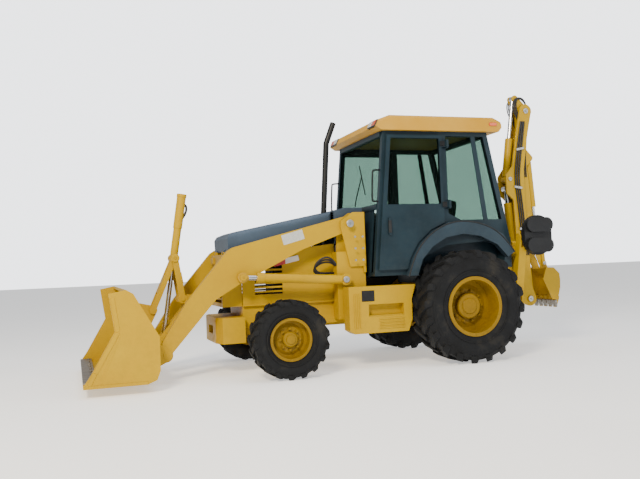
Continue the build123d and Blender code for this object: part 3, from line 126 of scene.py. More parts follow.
# columns: name, place, aimed at, width, watts, colour
LAMPS = [
    ("key_lamp", (-6.0, -9.0, 7.5), (0.0, 0.0, 1.2), 2.4, 1650.0, "#FFF1D8"),
    ("sky_lamp", (0.5, -1.0, 9.0), (0.0, 0.0, 0.0), 8.0, 380.0, "#F2F6FF"),
    ("fill_lamp", (7.0, -6.0, 3.0), (0.5, 0.0, 1.2), 4.0, 120.0, "#F6F8FF"),
]
for name, place, target, width, watts, colour in LAMPS:
    lamp = bpy.data.objects.new(name, bpy.data.lights.new(name, "AREA"))
    bpy.context.collection.objects.link(lamp)
    lamp.data.size = width
    lamp.data.energy = watts
    lamp.data.color = linear(colour)[:3]
    lamp.location = place
    lamp.rotation_mode = "QUATERNION"
    lamp.rotation_quaternion = (Vector(target) - Vector(place)).to_track_quat("-Z", "Y")


# ------------------------------------------------------------------ paint on the big steelwork
# Baked alkyd enamel sprayed on welded steel: an even semi-gloss coat with a slight orange
# peel, sun-bleached in patches, with road dust that settles thicker near the ground.
def enamel(name, colour, faded, dust, roughness, dust_top=1.3, dust_most=0.45):
    """Sprayed enamel; its dust thins out towards the height dust_top, in metres."""
    material, where = new_material(name)
    # bleached patches of about 600 mm
    patches = add(material, "ShaderNodeTexNoise", {"Scale": 1.7, "Detail": 5.0, "Roughness": 0.6},
                  {"Vector": where})
    paint = add(material, "ShaderNodeValToRGB", links={"Fac": patches}, stops=((0.36, colour), (0.68, faded)))
    height = add(material, "ShaderNodeSeparateXYZ", links={"Vector": where}).outputs["Z"]
    low = add(material, "ShaderNodeMapRange",
              {"From Min": 0.0, "From Max": dust_top, "To Min": dust_most, "To Max": 0.05}, {"Value": height})
    # dust clots of about 60 mm
    clots = add(material, "ShaderNodeTexNoise", {"Scale": 16.0, "Detail": 8.0, "Roughness": 0.7},
                {"Vector": where})
    spread = add(material, "ShaderNodeMapRange", {"From Min": 0.42, "From Max": 0.72}, {"Value": clots})
    amount = add(material, "ShaderNodeMath", links={0: low, 1: spread}, operation="MULTIPLY")
    # the mix node's factor is socket 0, and its colours are sockets 6 and 7
    coat = add(material, "ShaderNodeMix", {7: linear(dust)}, {0: amount, 6: paint}, data_type="RGBA")
    gloss = add(material, "ShaderNodeMapRange",
                {"From Min": 0.0, "From Max": 0.4, "To Min": roughness, "To Max": 0.85}, {"Value": amount})
    # orange peel, drawn at 14 mm so that it shows from some metres away
    peel = add(material, "ShaderNodeTexNoise", {"Scale": 70.0, "Detail": 2.0}, {"Vector": where})
    bump = add(material, "ShaderNodeBump", {"Strength": 0.06, "Distance": 0.004}, {"Height": peel})
    shader = add(material, "ShaderNodeBsdfPrincipled",
                 {"IOR": 1.5, "Coat Weight": 0.04, "Coat Roughness": 0.15, "Specular IOR Level": 0.2},
                 {"Base Color": coat.outputs[2], "Roughness": gloss, "Normal": bump})
    return finish_shader(material, shader)


def dress(material, *names):
    """Gives those CAD nodes that material in every slot."""
    for name in names:
        for material_slot in nodes[name].material_slots:
            material_slot.material = material


yellow = enamel("yellow enamel", "#B48E00", "#BA9700", "#83701F", 0.4, dust_most=0.3)
roof_yellow = enamel("roof enamel", "#BC8C1E", "#C4983A", "#A08446", 0.45)
slate = enamel("slate enamel", "#3A4858", "#45566A", "#76736A", 0.38)
cab_blue = enamel("cab enamel", "#182830", "#20323C", "#55564F", 0.3)
fender_coat = enamel("fender enamel", "#25343E", "#2F404D", "#6A6A60", 0.36)
# the rims' yellow enamel is drawn much darker than the body's, because painted shade of the recessed wheel
# dishes is mixed into its colour
rim_paint_and_dish_shade = enamel("rim enamel with painted dish shade", "#846500", "#8C6D00", "#574819", 0.45, dust_top=1.1, dust_most=0.6)
dark_iron = enamel("undercoat iron", "#2A2B2C", "#3A3733", "#6E5F49", 0.6, dust_top=1.1, dust_most=0.7)
black_coat = enamel("black enamel", "#141517", "#1E2022", "#4F4B43", 0.42, dust_top=1.0)

dress(yellow, "main_frame", "front_axle", "rear_axle", "knuckle_left", "knuckle_right")
dress(yellow, "loader_frame", "nose_grille", "engine_side_panels", "step_boxes")
dress(yellow, "lift_arms", "lift_cylinders", "loader_bucket", "guide_link", "bucket_link", "tilt_cylinder")
dress(yellow, "rear_frame", "swing_post", "boom", "dipper", "hoe_bucket", "hoe_rocker", "hoe_link")
dress(yellow, "boom_cylinder", "crowd_cylinder", "bucket_cylinder")
dress(roof_yellow, "cab_roof")
dress(slate, "hood", "cowl")
dress(cab_blue, "cab_frame", "door_left", "door_right")
dress(fender_coat, "fenders")
dress(dark_iron, "engine_block")
dress(black_coat, "exhaust_stack")
for side in ("left", "right"):
    dress(yellow, f"stabiliser_leg_{side}", f"stabiliser_cylinder_{side}")
    dress(black_coat, f"stabiliser_foot_{side}")
    dress(rim_paint_and_dish_shade, f"front_rim_{side}", f"rear_rim_{side}")

# ------------------------------------------------------------------ cylinder rods
# Hard chrome plate ground to a mirror on forged steel rods, under a patchy oil film that warms
# and dulls the reflection a little. Each lift rod ends in a welded eye, which is sprayed
# together with the arms.
FRONT_AXLE = -0.9175
# the film lies in patches of about 110 mm
OIL_PATCHES = {"Scale": 9.0, "Detail": 6.0}
PLATE_TINTS = ((0.35, "#C9CCCF"), (0.7, "#E2E1DC"))
chrome, where = new_material("chrome plate")
film = add(chrome, "ShaderNodeTexNoise", OIL_PATCHES, {"Vector": where})
tint = add(chrome, "ShaderNodeValToRGB", links={"Fac": film}, stops=PLATE_TINTS)
polish = add(chrome, "ShaderNodeMapRange", {"To Min": 0.12, "To Max": 0.34}, {"Value": film})
finish_shader(chrome, add(chrome, "ShaderNodeBsdfPrincipled", {"Metallic": 1.0},
                          {"Base Color": tint, "Roughness": polish}))
dress(chrome, "tilt_rod", "boom_rod", "crowd_rod", "bucket_rod")
dress(chrome, "stabiliser_rod_left", "stabiliser_rod_right")

# the enamel ends 62 mm behind the pin in the lift rod's eye
EYE_END = FRONT_AXLE - 0.390 + 0.062
sprayed_eye, where = new_material("chrome plate with enamelled eye")
film = add(sprayed_eye, "ShaderNodeTexNoise", OIL_PATCHES, {"Vector": where})
plate_tint = add(sprayed_eye, "ShaderNodeValToRGB", links={"Fac": film}, stops=PLATE_TINTS)
along_rod = add(sprayed_eye, "ShaderNodeSeparateXYZ", links={"Vector": where})
bare = add(sprayed_eye, "ShaderNodeMapRange", {"From Min": EYE_END, "From Max": EYE_END + 0.002},
           {"Value": along_rod})
tint = add(sprayed_eye, "ShaderNodeMix", {6: linear("#B48C00")}, {0: bare, 7: plate_tint}, data_type="RGBA")
polish = add(sprayed_eye, "ShaderNodeMapRange", {"To Min": 0.42, "To Max": 0.2}, {"Value": bare})
finish_shader(sprayed_eye, add(sprayed_eye, "ShaderNodeBsdfPrincipled", links={
    "Base Color": tint.outputs[2], "Metallic": bare, "Roughness": polish}))
dress(sprayed_eye, "lift_rods")

# ------------------------------------------------------------------ tyres
# Moulded natural and carbon-black rubber: near black, matt, greyed by bloom on the side
# walls and browned by soil between the lugs.
rubber, where = new_material("tyre rubber")
# bloom and soil in patches of about 200 mm
bloom = add(rubber, "ShaderNodeTexNoise", {"Scale": 5.0, "Detail": 7.0, "Roughness": 0.65}, {"Vector": where})
tone = add(rubber, "ShaderNodeValToRGB", links={"Fac": bloom},
           stops=((0.3, "#0B0C0E"), (0.55, "#131518"), (0.75, "#2A2824")))
# grit of about 6 mm
grit = add(rubber, "ShaderNodeTexNoise", {"Scale": 160.0, "Detail": 3.0}, {"Vector": where})
bump = add(rubber, "ShaderNodeBump", {"Strength": 0.25, "Distance": 0.003}, {"Height": grit})
finish_shader(rubber, add(rubber, "ShaderNodeBsdfPrincipled",
                          {"Roughness": 0.8, "IOR": 1.52, "Specular IOR Level": 0.25},
                          {"Base Color": tone, "Normal": bump}))
for side in ("left", "right"):
    dress(rubber, f"front_tyre_{side}", f"rear_tyre_{side}")

# ------------------------------------------------------------------ cab glazing
# Toughened soda-lime glass with a light grey-green body tint, a few millimetres thick. It is
# clear enough to see the seat and the far frame through both sides of the cab, and wiping
# has left faint smears a few hundred millimetres across.
glass, where = new_material("tinted glass")
smears = add(glass, "ShaderNodeTexNoise", {"Scale": 3.0, "Detail": 6.0}, {"Vector": where})
film = add(glass, "ShaderNodeMapRange",
           {"From Min": 0.45, "From Max": 0.8, "To Min": 0.035, "To Max": 0.015}, {"Value": smears})
clear = add(glass, "ShaderNodeBsdfTransparent", {"Color": linear("#BECCC6")})
sheen = add(glass, "ShaderNodeBsdfPrincipled",
            {"Base Color": linear("#3A4A46"), "Roughness": 0.06, "IOR": 1.52})
finish_shader(glass, add(glass, "ShaderNodeMixShader", links={0: film, 1: clear, 2: sheen}))
dress(glass, "cab_glass", "door_glass_left", "door_glass_right")

# ------------------------------------------------------------------ controls
# Injection-moulded black polypropylene on the column, wheel and levers, with a leather grain
# of a few millimetres that keeps it from shining.
plastic, where = new_material("black polypropylene")
grain = add(plastic, "ShaderNodeTexVoronoi", {"Scale": 300.0}, {"Vector": where})
tone = add(plastic, "ShaderNodeValToRGB", links={"Fac": grain}, stops=((0.0, "#1B1C1E"), (0.8, "#26282A")))
bump = add(plastic, "ShaderNodeBump", {"Strength": 0.3, "Distance": 0.0008}, {"Height": grain})
finish_shader(plastic, add(plastic, "ShaderNodeBsdfPrincipled", {"Roughness": 0.55},
                           {"Base Color": tone, "Normal": bump}))
dress(plastic, "controls")


# ------------------------------------------------------------------ wheel nuts, hub caps and side-wall ribs
# Forged steel nuts clamp each disc to its hub, and a pressed steel cap covers the hub's end;
# both are painted with the rim, in its darkened yellow that holds painted shade. The tyre's
# side wall carries moulded rubber rings that stiffen it over the bead.
def place_piece(name, shape, material, body):
    """Makes a piece of a finished bmesh, riding on that body."""
    bmesh.ops.recalc_face_normals(shape, faces=shape.faces)
    piece = bpy.data.objects.new(name, bpy.data.meshes.new(name))
    shape.to_mesh(piece.data)
    shape.free()
    piece.data.materials.append(material)
    bpy.context.collection.objects.link(piece)
    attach(piece, body)
    return piece


def lathe(shape, outline, centre, axis, steps=48):
    """Spins an outline of (along the axis, radius) points round the axis through the centre."""
    along = Vector(axis).normalized()
    out = along.orthogonal().normalized()
    verts = [shape.verts.new(Vector(centre) + along * a + out * r) for a, r in outline]
    edges = [shape.edges.new(pair) for pair in zip(verts, verts[1:])]
    bmesh.ops.spin(shape, geom=verts + edges, cent=centre, axis=along, angle=math.tau, steps=steps,
                   use_merge=True)
    # the turned points of a pole end up a micron or so apart, and are joined here to close it
    bmesh.ops.remove_doubles(shape, verts=shape.verts[:], dist=1e-5)


def round_edges(shape, verts, round_by, segments=2):
    """Bevels every edge at those vertices, each taken once and always in the same order."""
    edges = list(dict.fromkeys(edge for vert in verts for edge in vert.link_edges))
    bmesh.ops.bevel(shape, geom=edges, offset=round_by, segments=segments, profile=0.5, affect="EDGES",
                    material=-1)


def hexagon_nut(shape, centre, axis, across, height):
    """A chamfered hexagon nut with a short threaded end standing out of it."""
    turn = Vector(axis).to_track_quat("Z", "X").to_matrix().to_4x4()
    corner = across / 1.73
    middle = Matrix.Translation(Vector(centre) + Vector(axis) * height / 2)
    nut = bmesh.ops.create_cone(shape, cap_ends=True, segments=6, radius1=corner, radius2=corner,
                                depth=height, matrix=middle @ turn)
    round_edges(shape, nut["verts"], height * 0.1, segments=1)
    stud = Matrix.Translation(Vector(centre) + Vector(axis) * height * 1.3)
    bmesh.ops.create_cone(shape, cap_ends=True, segments=10, radius1=across * 0.3, radius2=across * 0.26,
                          depth=height * 0.7, matrix=stud @ turn)


WHEELBASE = 2.14
# columns: name, axle X, wheel radius, half track, disc face out from the wheel's middle,
#          stud circle radius, studs, nut across flats, hub end, hub radius, tyre half width, bead radius
WHEELS = [
    ("front", FRONT_AXLE, 0.410, 0.946, 0.020, 0.108, 8, 0.030, 0.075, 0.080, 0.150, 0.205),
    ("rear", FRONT_AXLE + WHEELBASE, 0.632, 0.871, -0.020, 0.178, 10, 0.034, 0.050, 0.145, 0.2225, 0.305),
]
# each side-wall rib: share of the way from bead to tread, height, half width
RIBS = [(0.30, 0.004, 0.004), (0.62, 0.004, 0.005), (0.70, 0.003, 0.003)]
for (name, axle_x, radius, track, disc, stud_circle, studs, across,
     hub_end, hub_radius, half_width, bead) in WHEELS:
    for side, hand in (("left", -1), ("right", 1)):
        body = f"{name}_wheel_{side}"
        out = Vector((0, hand, 0))
        hub = Vector((axle_x, hand * track, radius))
        wheel_nuts = bmesh.new()
        for i in range(studs):
            angle = math.tau * i / studs
            spoke = Vector((math.cos(angle), 0, math.sin(angle)))
            hexagon_nut(wheel_nuts, hub + out * disc + spoke * stud_circle, out, across, 0.022)
        place_piece(f"{name}_wheel_nuts_{side}", wheel_nuts, rim_paint_and_dish_shade, body)
        cap = bmesh.new()
        cap_r = hub_radius * 0.62
        # the cap stands 16 mm out of the hub and sinks 2 mm into it
        dome = [(-0.002, cap_r), (0.006, cap_r), (0.012, cap_r * 0.93), (0.014, cap_r * 0.6), (0.016, 0.0)]
        lathe(cap, [(hub_end + rise, r) for rise, r in dome], hub, out)
        place_piece(f"{name}_hub_cap_{side}", cap, rim_paint_and_dish_shade, body)
        ribs = bmesh.new()
        for share, rise, half_rib in RIBS:
            rib_r = bead + (radius - bead) * share
            # the side wall bulges to its full width at 46 percent of the way and draws in from there
            wall = half_width * (1 - 0.16 * ((share - 0.46) / 0.5) ** 2) - 0.006
            crest = wall + 0.006 + rise
            lathe(ribs, [(wall, rib_r - half_rib * 2), (crest, rib_r - half_rib), (crest, rib_r + half_rib),
                         (wall, rib_r + half_rib * 2)], hub, out, steps=64)
        place_piece(f"{name}_tyre_ribs_{side}", ribs, rubber, body)


# ------------------------------------------------------------------ loader pins and frame bolts
# Turned steel pins join the arms, towers and cylinders, each kept by a small bolt: bright
# zinc-plated heads on the frame, sprayed ones on the arms. Hexagon bolts hold the towers.
def side_point(behind, height, y):
    """A side-view place, in mm behind the front axle and up, as a point at that y in metres."""
    return Vector((FRONT_AXLE + behind / 1000, y, height / 1000))


def pin_heads(name, place, face, radius, height, material, body):
    """A pair of chamfered pin heads with their retaining bolts, one on each side of the machine."""
    heads = bmesh.new()
    outline = [(0.0, radius), (height * 0.75, radius), (height, radius * 0.9), (height, radius * 0.35),
               (height * 0.7, radius * 0.3), (height * 0.7, 0.0)]
    for hand in (-1, 1):
        out = Vector((0, hand, 0))
        centre = side_point(*place, hand * (face - 0.001))
        lathe(heads, outline, centre, out, steps=32)
        hexagon_nut(heads, centre + out * height * 0.7, out, radius * 0.5, 0.008)
    place_piece(name, heads, material, body)


# a coarse crystal pattern of about 25 mm keeps the plating from looking like a mirror
zinc, where = new_material("zinc plate")
spangle = add(zinc, "ShaderNodeTexNoise", {"Scale": 40.0, "Detail": 4.0}, {"Vector": where})
tint = add(zinc, "ShaderNodeValToRGB", links={"Fac": spangle}, stops=((0.3, "#9A9C9B"), (0.7, "#C2C3BF")))
finish_shader(zinc, add(zinc, "ShaderNodeBsdfPrincipled", {"Metallic": 1.0, "Roughness": 0.42},
                        {"Base Color": tint}))

frame_out = -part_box("loader_frame")[0].y
rods_out = -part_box("lift_rods")[0].y
# columns: body, place, |y| of the face that the head sits on, head radius, material, its slot
LOADER_PINS = [
    ("chassis", (840, 1610), frame_out, 0.042, zinc, "rod_chrome"),
    ("chassis", (770, 990), 0.659, 0.036, zinc, "rod_chrome"),
    ("lift_rods", (-390, 1060), rods_out, 0.036, yellow, "paint_yellow"),
    ("lift_arms", (-1210, 290), 0.560, 0.040, yellow, "paint_yellow"),
    ("tilt_cylinder", (-1030, 1300), 0.131, 0.044, yellow, "paint_yellow"),
]
for number, (body, place, face, radius, material, finish_slot) in enumerate(LOADER_PINS):
    pin_heads(f"loader_pin_heads_{number}", place, face, radius, 0.012, material, body)

frame_bolts = bmesh.new()
for hand in (-1, 1):
    for behind in (890, 980):
        for height in (1200, 1330, 1460):
            hexagon_nut(frame_bolts, side_point(behind, height, hand * (frame_out - 0.001)),
                        Vector((0, hand, 0)), 0.024, 0.010)
place_piece("loader_frame_bolts", frame_bolts, zinc, "chassis")

# ------------------------------------------------------------------ hydraulic lines on the loader
# Black rubber hoses under a diagonal braid loop from the loader frame into the engine bay,
# and one bridges the tilt cylinder's ports. Bent steel tubes, black enamelled, follow the arms.
hose, where = new_material("braided hose rubber")
# the braid's strands lie about 4 mm apart and show only from close by
weave = add(hose, "ShaderNodeTexWave", {"Scale": 90.0, "Distortion": 2.0}, {"Vector": where},
            bands_direction="DIAGONAL")
tone = add(hose, "ShaderNodeValToRGB", links={"Fac": weave.outputs["Fac"]},
           stops=((0.2, "#121314"), (0.8, "#1F2123")))
finish_shader(hose, add(hose, "ShaderNodeBsdfPrincipled", {"Roughness": 0.5}, {"Base Color": tone}))


def both_sides(*places):
    """A line of (behind, height, |y|) places as two lines of points, one on each side of the machine."""
    return [[side_point(behind, height, hand * y) for behind, height, y in places] for hand in (-1, 1)]


def bent_tubes(name, lines, radius, material, body):
    """One piece of round tubes, each bent smoothly along its line of points."""
    curve = bpy.data.curves.new(name, "CURVE")
    curve.dimensions = "3D"
    curve.bevel_depth = radius
    curve.bevel_resolution = 3
    curve.use_fill_caps = True
    for points in lines:
        spline = curve.splines.new("NURBS")
        spline.points.add(len(points) - 1)
        for spline_point, point in zip(spline.points, points):
            spline_point.co = (*point, 1.0)
        spline.order_u = 3
        spline.use_endpoint_u = True
        spline.resolution_u = 6
    bent = bpy.data.objects.new(name, curve)
    bpy.context.collection.objects.link(bent)
    whole = bpy.data.meshes.new_from_object(bent.evaluated_get(bpy.context.evaluated_depsgraph_get()))
    bpy.data.objects.remove(bent)
    shape = bmesh.new()
    shape.from_mesh(whole)
    for face in shape.faces:
        face.smooth = True
    return place_piece(name, shape, material, body)


# three hoses a side, each 22 mm further in and 27 mm lower at the loop than the one before
hose_lines = []
for i in range(3):
    y = 0.545 - 0.022 * i
    low = 27 * i
    hose_lines += both_sides((700, 1150, y), (640, 1250 - low, y), (520, 1235 - low, y - 0.007),
                             (440, 1140 - 18 * i, y - 0.045), (520, 1060 - 9 * i, 0.470 - 0.011 * i),
                             (700, 1075, 0.455 - 0.0088 * i), (860, 1030, 0.420 - 0.0066 * i))
bent_tubes("loader_hoses", hose_lines, 0.011, hose, "chassis")

tilt_port_hose = [side_point(-893, 1901, 0.0), side_point(-874, 1890, 0.004), side_point(-866, 1842, 0.008),
                  side_point(-890, 1782, 0.006), side_point(-914, 1750, 0.0)]
bent_tubes("tilt_port_hose", [tilt_port_hose], 0.013, hose, "tilt_cylinder")

# two tubes follow the inner side of each arm, one 26 mm under the other
ARM_INSIDE = 0.463
ARM_LINE = [(560, 1475), (300, 1392), (-150, 1170), (-420, 1040), (-640, 905)]
arm_tubes = []
for low in (0, 26):
    arm_tubes += both_sides(*[(behind, height - low, ARM_INSIDE) for behind, height in ARM_LINE])
bent_tubes("arm_tubes", arm_tubes, 0.008, black_coat, "lift_arms")

# ------------------------------------------------------------------ bare plates and reflectors
# A sheet of anodised aluminium, pale and satin, is bonded flat to each arm, and a strip of red
# and white reflecting film is stuck on each side panel. Both are plain.
anodised, where = new_material("anodised aluminium plate")
# faint clouding of about 17 mm in the anodised skin
clouding = add(anodised, "ShaderNodeTexNoise", {"Scale": 60.0, "Detail": 3.0}, {"Vector": where})
tint = add(anodised, "ShaderNodeValToRGB", links={"Fac": clouding},
           stops=((0.3, "#B9BDB8"), (0.7, "#CDCFC9")))
finish_shader(anodised, add(anodised, "ShaderNodeBsdfPrincipled", {"Metallic": 0.3, "Roughness": 0.45},
                            {"Base Color": tint}))
# the film changes from red to white at this X, with a clean edge 4 mm wide
COLOUR_CHANGE = -0.762
reflector, where = new_material("reflector film")
along_strip = add(reflector, "ShaderNodeSeparateXYZ", links={"Vector": where})
halves = add(reflector, "ShaderNodeMapRange", {"From Min": COLOUR_CHANGE, "From Max": COLOUR_CHANGE + 0.004},
             {"Value": along_strip})
tint = add(reflector, "ShaderNodeValToRGB", links={"Fac": halves}, stops=((0.0, "#B3261C"), (1.0, "#D8D3CB")))
finish_shader(reflector, add(reflector, "ShaderNodeBsdfPrincipled", {"Roughness": 0.35},
                             {"Base Color": tint}))


def block(shape, centre, size, round_by, segments=2, turn=Matrix()):
    """A block with rounded edges, turned about its centre."""
    cube = bmesh.ops.create_cube(shape, size=1.0,
                                 matrix=Matrix.Translation(centre) @ turn @ Matrix.Diagonal((*size, 1)))
    round_edges(shape, cube["verts"], round_by, segments)


def plate(shape, place, face, size, hand, thick=0.003, degrees=0.0):
    """A thin plate with softened edges on a side face at |y|, turned in the side view."""
    length, height = size
    block(shape, side_point(*place, hand * (face + thick / 2)), (length, thick, height), thick * 0.4,
          turn=Matrix.Rotation(math.radians(degrees), 4, "Y"))


for side, hand in (("left", -1), ("right", 1)):
    arm_plate = bmesh.new()
    plate(arm_plate, (200, 1478), 0.560, (0.250, 0.110), hand, degrees=-15)
    place_piece(f"arm_plate_{side}", arm_plate, anodised, "lift_arms")
panel_out = -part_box("engine_side_panels")[0].y
strips = bmesh.new()
for hand in (-1, 1):
    plate(strips, (166, 1222), panel_out, (0.300, 0.060), hand, degrees=-12)
place_piece("panel_reflectors", strips, reflector, "chassis")

# ------------------------------------------------------------------ cab seals, grips, rails and wiper
# Extruded EPDM rubber, dull and faintly dusty, seals each pane in its frame, the roof's edge
# and the fender's rim, and the door has a moulded rubber grip. The grab rails and the wiper
# are bent steel rod under black enamel.
seal_rubber, where = new_material("window seal rubber")
# dust in patches of about 80 mm
worn = add(seal_rubber, "ShaderNodeTexNoise", {"Scale": 12.0, "Detail": 4.0}, {"Vector": where})
tone = add(seal_rubber, "ShaderNodeValToRGB", links={"Fac": worn},
           stops=((0.35, "#101214"), (0.7, "#1D1F21")))
finish_shader(seal_rubber, add(seal_rubber, "ShaderNodeBsdfPrincipled", {"Roughness": 0.62},
                               {"Base Color": tone}))


def raise_faces(shape, faces, shift):
    """Extrudes the faces by that shift, keeps them as the back, and gives the raised vertices."""
    raised = bmesh.ops.extrude_face_region(shape, geom=faces, use_keep_orig=True)["geom"]
    verts = [part for part in raised if isinstance(part, bmesh.types.BMVert)]
    bmesh.ops.translate(shape, verts=verts, vec=shift)
    return verts


def window_seal(shape, corners, outward, width, depth):
    """A lip along a flat opening's edge, rising that depth outward from the corners.

    The pane has no normal yet when it is inset, so the strip gets none of its width and the lip
    is a thin wall. Calling pane.normal_update() first would give it its full width.
    """
    pane = shape.faces.new([shape.verts.new(corner) for corner in corners])
    strip = bmesh.ops.inset_individual(shape, faces=[pane], thickness=width, depth=0.0)["faces"]
    bmesh.ops.delete(shape, geom=[pane], context="FACES")
    raise_faces(shape, strip, Vector(outward) * depth)


DOOR_PANE = [(1334, 2560), (1258, 1810), (1930, 1810), (1930, 2560)]
QUARTER_PANE = [(2045, 2596), (2535, 2596), (2740, 1620), (2200, 1620), (2045, 1700)]
WINDSCREEN = [(1195, 1822, -0.65), (1268, 2590, -0.65), (1268, 2590, 0.65), (1195, 1822, 0.65)]
REAR_SCREEN = [(2800, 1462, -0.65), (2572, 2590, -0.65), (2572, 2590, 0.65), (2800, 1462, 0.65)]
cab_seals = bmesh.new()
for side, hand in (("left", -1), ("right", 1)):
    out = Vector((0, hand, 0))
    door_seal = bmesh.new()
    window_seal(door_seal, [side_point(*corner, hand * 0.737) for corner in DOOR_PANE], out, 0.016, 0.017)
    place_piece(f"door_seal_{side}", door_seal, seal_rubber, f"door_{side}")
    window_seal(cab_seals, [side_point(*corner, hand * 0.685) for corner in QUARTER_PANE], out, 0.018, 0.028)
    grip = bmesh.new()
    block(grip, side_point(1275, 1560, hand * 0.7675), (0.036, 0.022, 0.140), 0.007, segments=3)
    place_piece(f"door_grip_{side}", grip, seal_rubber, f"door_{side}")
window_seal(cab_seals, [side_point(*corner) for corner in WINDSCREEN], (-0.9955, 0, 0.0946), 0.022, 0.010)
window_seal(cab_seals, [side_point(*corner) for corner in REAR_SCREEN], (0.9802, 0, 0.1981), 0.022, 0.010)
place_piece("cab_seals", cab_seals, seal_rubber, "chassis")

roof_edge = both_sides(*[(behind, 2650, 0.714) for behind in (1228, 1240, 2690, 2700)])
bent_tubes("roof_seal", roof_edge, 0.006, seal_rubber, "chassis")
grab_rails = both_sides((1180, 1850, 0.680), (1108, 1850, 0.690), (1104, 1870, 0.690), (1120, 2180, 0.690),
                        (1132, 2205, 0.690), (1214, 2205, 0.680))
bent_tubes("cab_grab_rail", grab_rails, 0.010, black_coat, "chassis")
wiper = [[side_point(1188, 1850, 0.05), side_point(1172, 1862, 0.05), side_point(1198, 2180, -0.16)],
         [side_point(1190, 1965, -0.28), side_point(1218, 2330, -0.06)]]
bent_tubes("wiper_arm", wiper, 0.007, black_coat, "chassis")
RIM_LINE = [(1470, 996), (1530, 1176), (1640, 1356), (1800, 1496), (2000, 1586), (2200, 1608), (2450, 1566),
            (2700, 1436), (2850, 1226)]
fender_rims = both_sides(*[(behind, height, 0.795) for behind, height in RIM_LINE])
bent_tubes("fender_beading", fender_rims, 0.008, seal_rubber, "chassis")


# ------------------------------------------------------------------ lamps
# Moulded acrylic lenses with a rounded face over the lamp housings in the roof: amber
# outboard and clear inboard at the front, amber and red at the rear, amber on the sides.
def acrylic(name, colour, flute):
    """Coloured acrylic, glossy, and darker in the moulded flutes that lie some 12 mm apart."""
    material, where = new_material(name)
    flutes = add(material, "ShaderNodeTexWave", {"Scale": 26.0}, {"Vector": where}, bands_direction="Y")
    tint = add(material, "ShaderNodeValToRGB", links={"Fac": flutes.outputs["Fac"]},
               stops=((0.0, flute), (0.7, colour)))
    shader = add(material, "ShaderNodeBsdfPrincipled",
                 {"Roughness": 0.12, "IOR": 1.49, "Coat Weight": 0.6, "Coat Roughness": 0.03},
                 {"Base Color": tint})
    return finish_shader(material, shader)


amber = acrylic("amber acrylic", "#D2560A", "#8C2E05")
red = acrylic("red acrylic", "#A5170F", "#5F0A08")
clear_lens = acrylic("clear acrylic", "#DADCD8", "#8F9493")
# the front lamps lie on the slope of the roof's front edge, the rear ones stand upright
ROOF_SLOPE = Matrix.Rotation(math.atan2(40, 80), 4, "Y")
UPRIGHT = Matrix()
# columns: name, place, |y|, width, height, lean, material
LAMP_PAIRS = [
    ("front_surround", (1170, 2730), 0.640, 0.230, 0.086, ROOF_SLOPE, plastic),
    ("front_signal", (1163, 2733), 0.693, 0.096, 0.066, ROOF_SLOPE, amber),
    ("front_work", (1163, 2733), 0.588, 0.096, 0.066, ROOF_SLOPE, clear_lens),
    ("rear_signal", (2765, 2740), 0.655, 0.068, 0.046, UPRIGHT, amber),
    ("rear_tail", (2765, 2740), 0.583, 0.068, 0.046, UPRIGHT, red),
]
for name, place, off_centre, width, tall, lean, material in LAMP_PAIRS:
    lenses = bmesh.new()
    for hand in (-1, 1):
        block(lenses, side_point(*place, hand * off_centre), (0.022, width, tall), 0.008, segments=3,
              turn=lean)
    place_piece(f"{name}_lamps", lenses, material, "chassis")
side_markers = bmesh.new()
for hand in (-1, 1):
    block(side_markers, side_point(2640, 2735, hand * 0.7845), (0.100, 0.016, 0.040), 0.006, segments=3)
place_piece("roof_side_markers", side_markers, amber, "chassis")

# ------------------------------------------------------------------ quarter posts and door hinge leaves
# A pressed steel post, enamelled with the cab, splits each quarter window. Black steel hinge
# leaves, each with two bolts, clamp the door to its hinge knuckles.
POST = [(2372, 2604), (2432, 2604), (2560, 1612), (2500, 1612)]
quarter_posts = bmesh.new()
for hand in (-1, 1):
    corners = [quarter_posts.verts.new(side_point(*corner, hand * 0.6985)) for corner in POST]
    raise_faces(quarter_posts, [quarter_posts.faces.new(corners)], Vector((0, hand * 0.012, 0)))
round_edges(quarter_posts, quarter_posts.verts, 0.003)
place_piece("quarter_posts", quarter_posts, cab_blue, "chassis")
for side, hand in (("left", -1), ("right", 1)):
    leaves = bmesh.new()
    for height in (2500, 1800):
        plate(leaves, (1972, height), 0.766, (0.060, 0.060), hand, thick=0.005)
        for lift in (-18, 18):
            hexagon_nut(leaves, side_point(1972, height + lift, hand * 0.770), Vector((0, hand, 0)),
                        0.016, 0.006)
    place_piece(f"door_hinge_leaves_{side}", leaves, black_coat, f"door_{side}")

# ------------------------------------------------------------------ driver's seat
# A suspension seat: foam cushions under a grey woven cloth with a sewn border, on a black
# moulded pan, a rubber bellows and a sheet-steel riser bolted to the cab floor.
cloth, where = new_material("woven seat cloth")
# threads of about 2 mm, drawn at 12 mm so that they show through the window
THREADS = {"Scale": 26.0, "Distortion": 0.6}
warp = add(cloth, "ShaderNodeTexWave", THREADS, {"Vector": where}, bands_direction="Y").outputs["Fac"]
weft = add(cloth, "ShaderNodeTexWave", THREADS, {"Vector": where}, bands_direction="Z").outputs["Fac"]
weave = add(cloth, "ShaderNodeMath", links={0: warp, 1: weft}, operation="MULTIPLY")
tone = add(cloth, "ShaderNodeValToRGB", links={"Fac": weave}, stops=((0.0, "#2A2D31"), (0.6, "#4B4F54")))
bump = add(cloth, "ShaderNodeBump", {"Strength": 0.4, "Distance": 0.001}, {"Height": weave})
finish_shader(cloth, add(cloth, "ShaderNodeBsdfPrincipled", {"Roughness": 0.9, "Sheen Weight": 0.3},
                         {"Base Color": tone, "Normal": bump}))


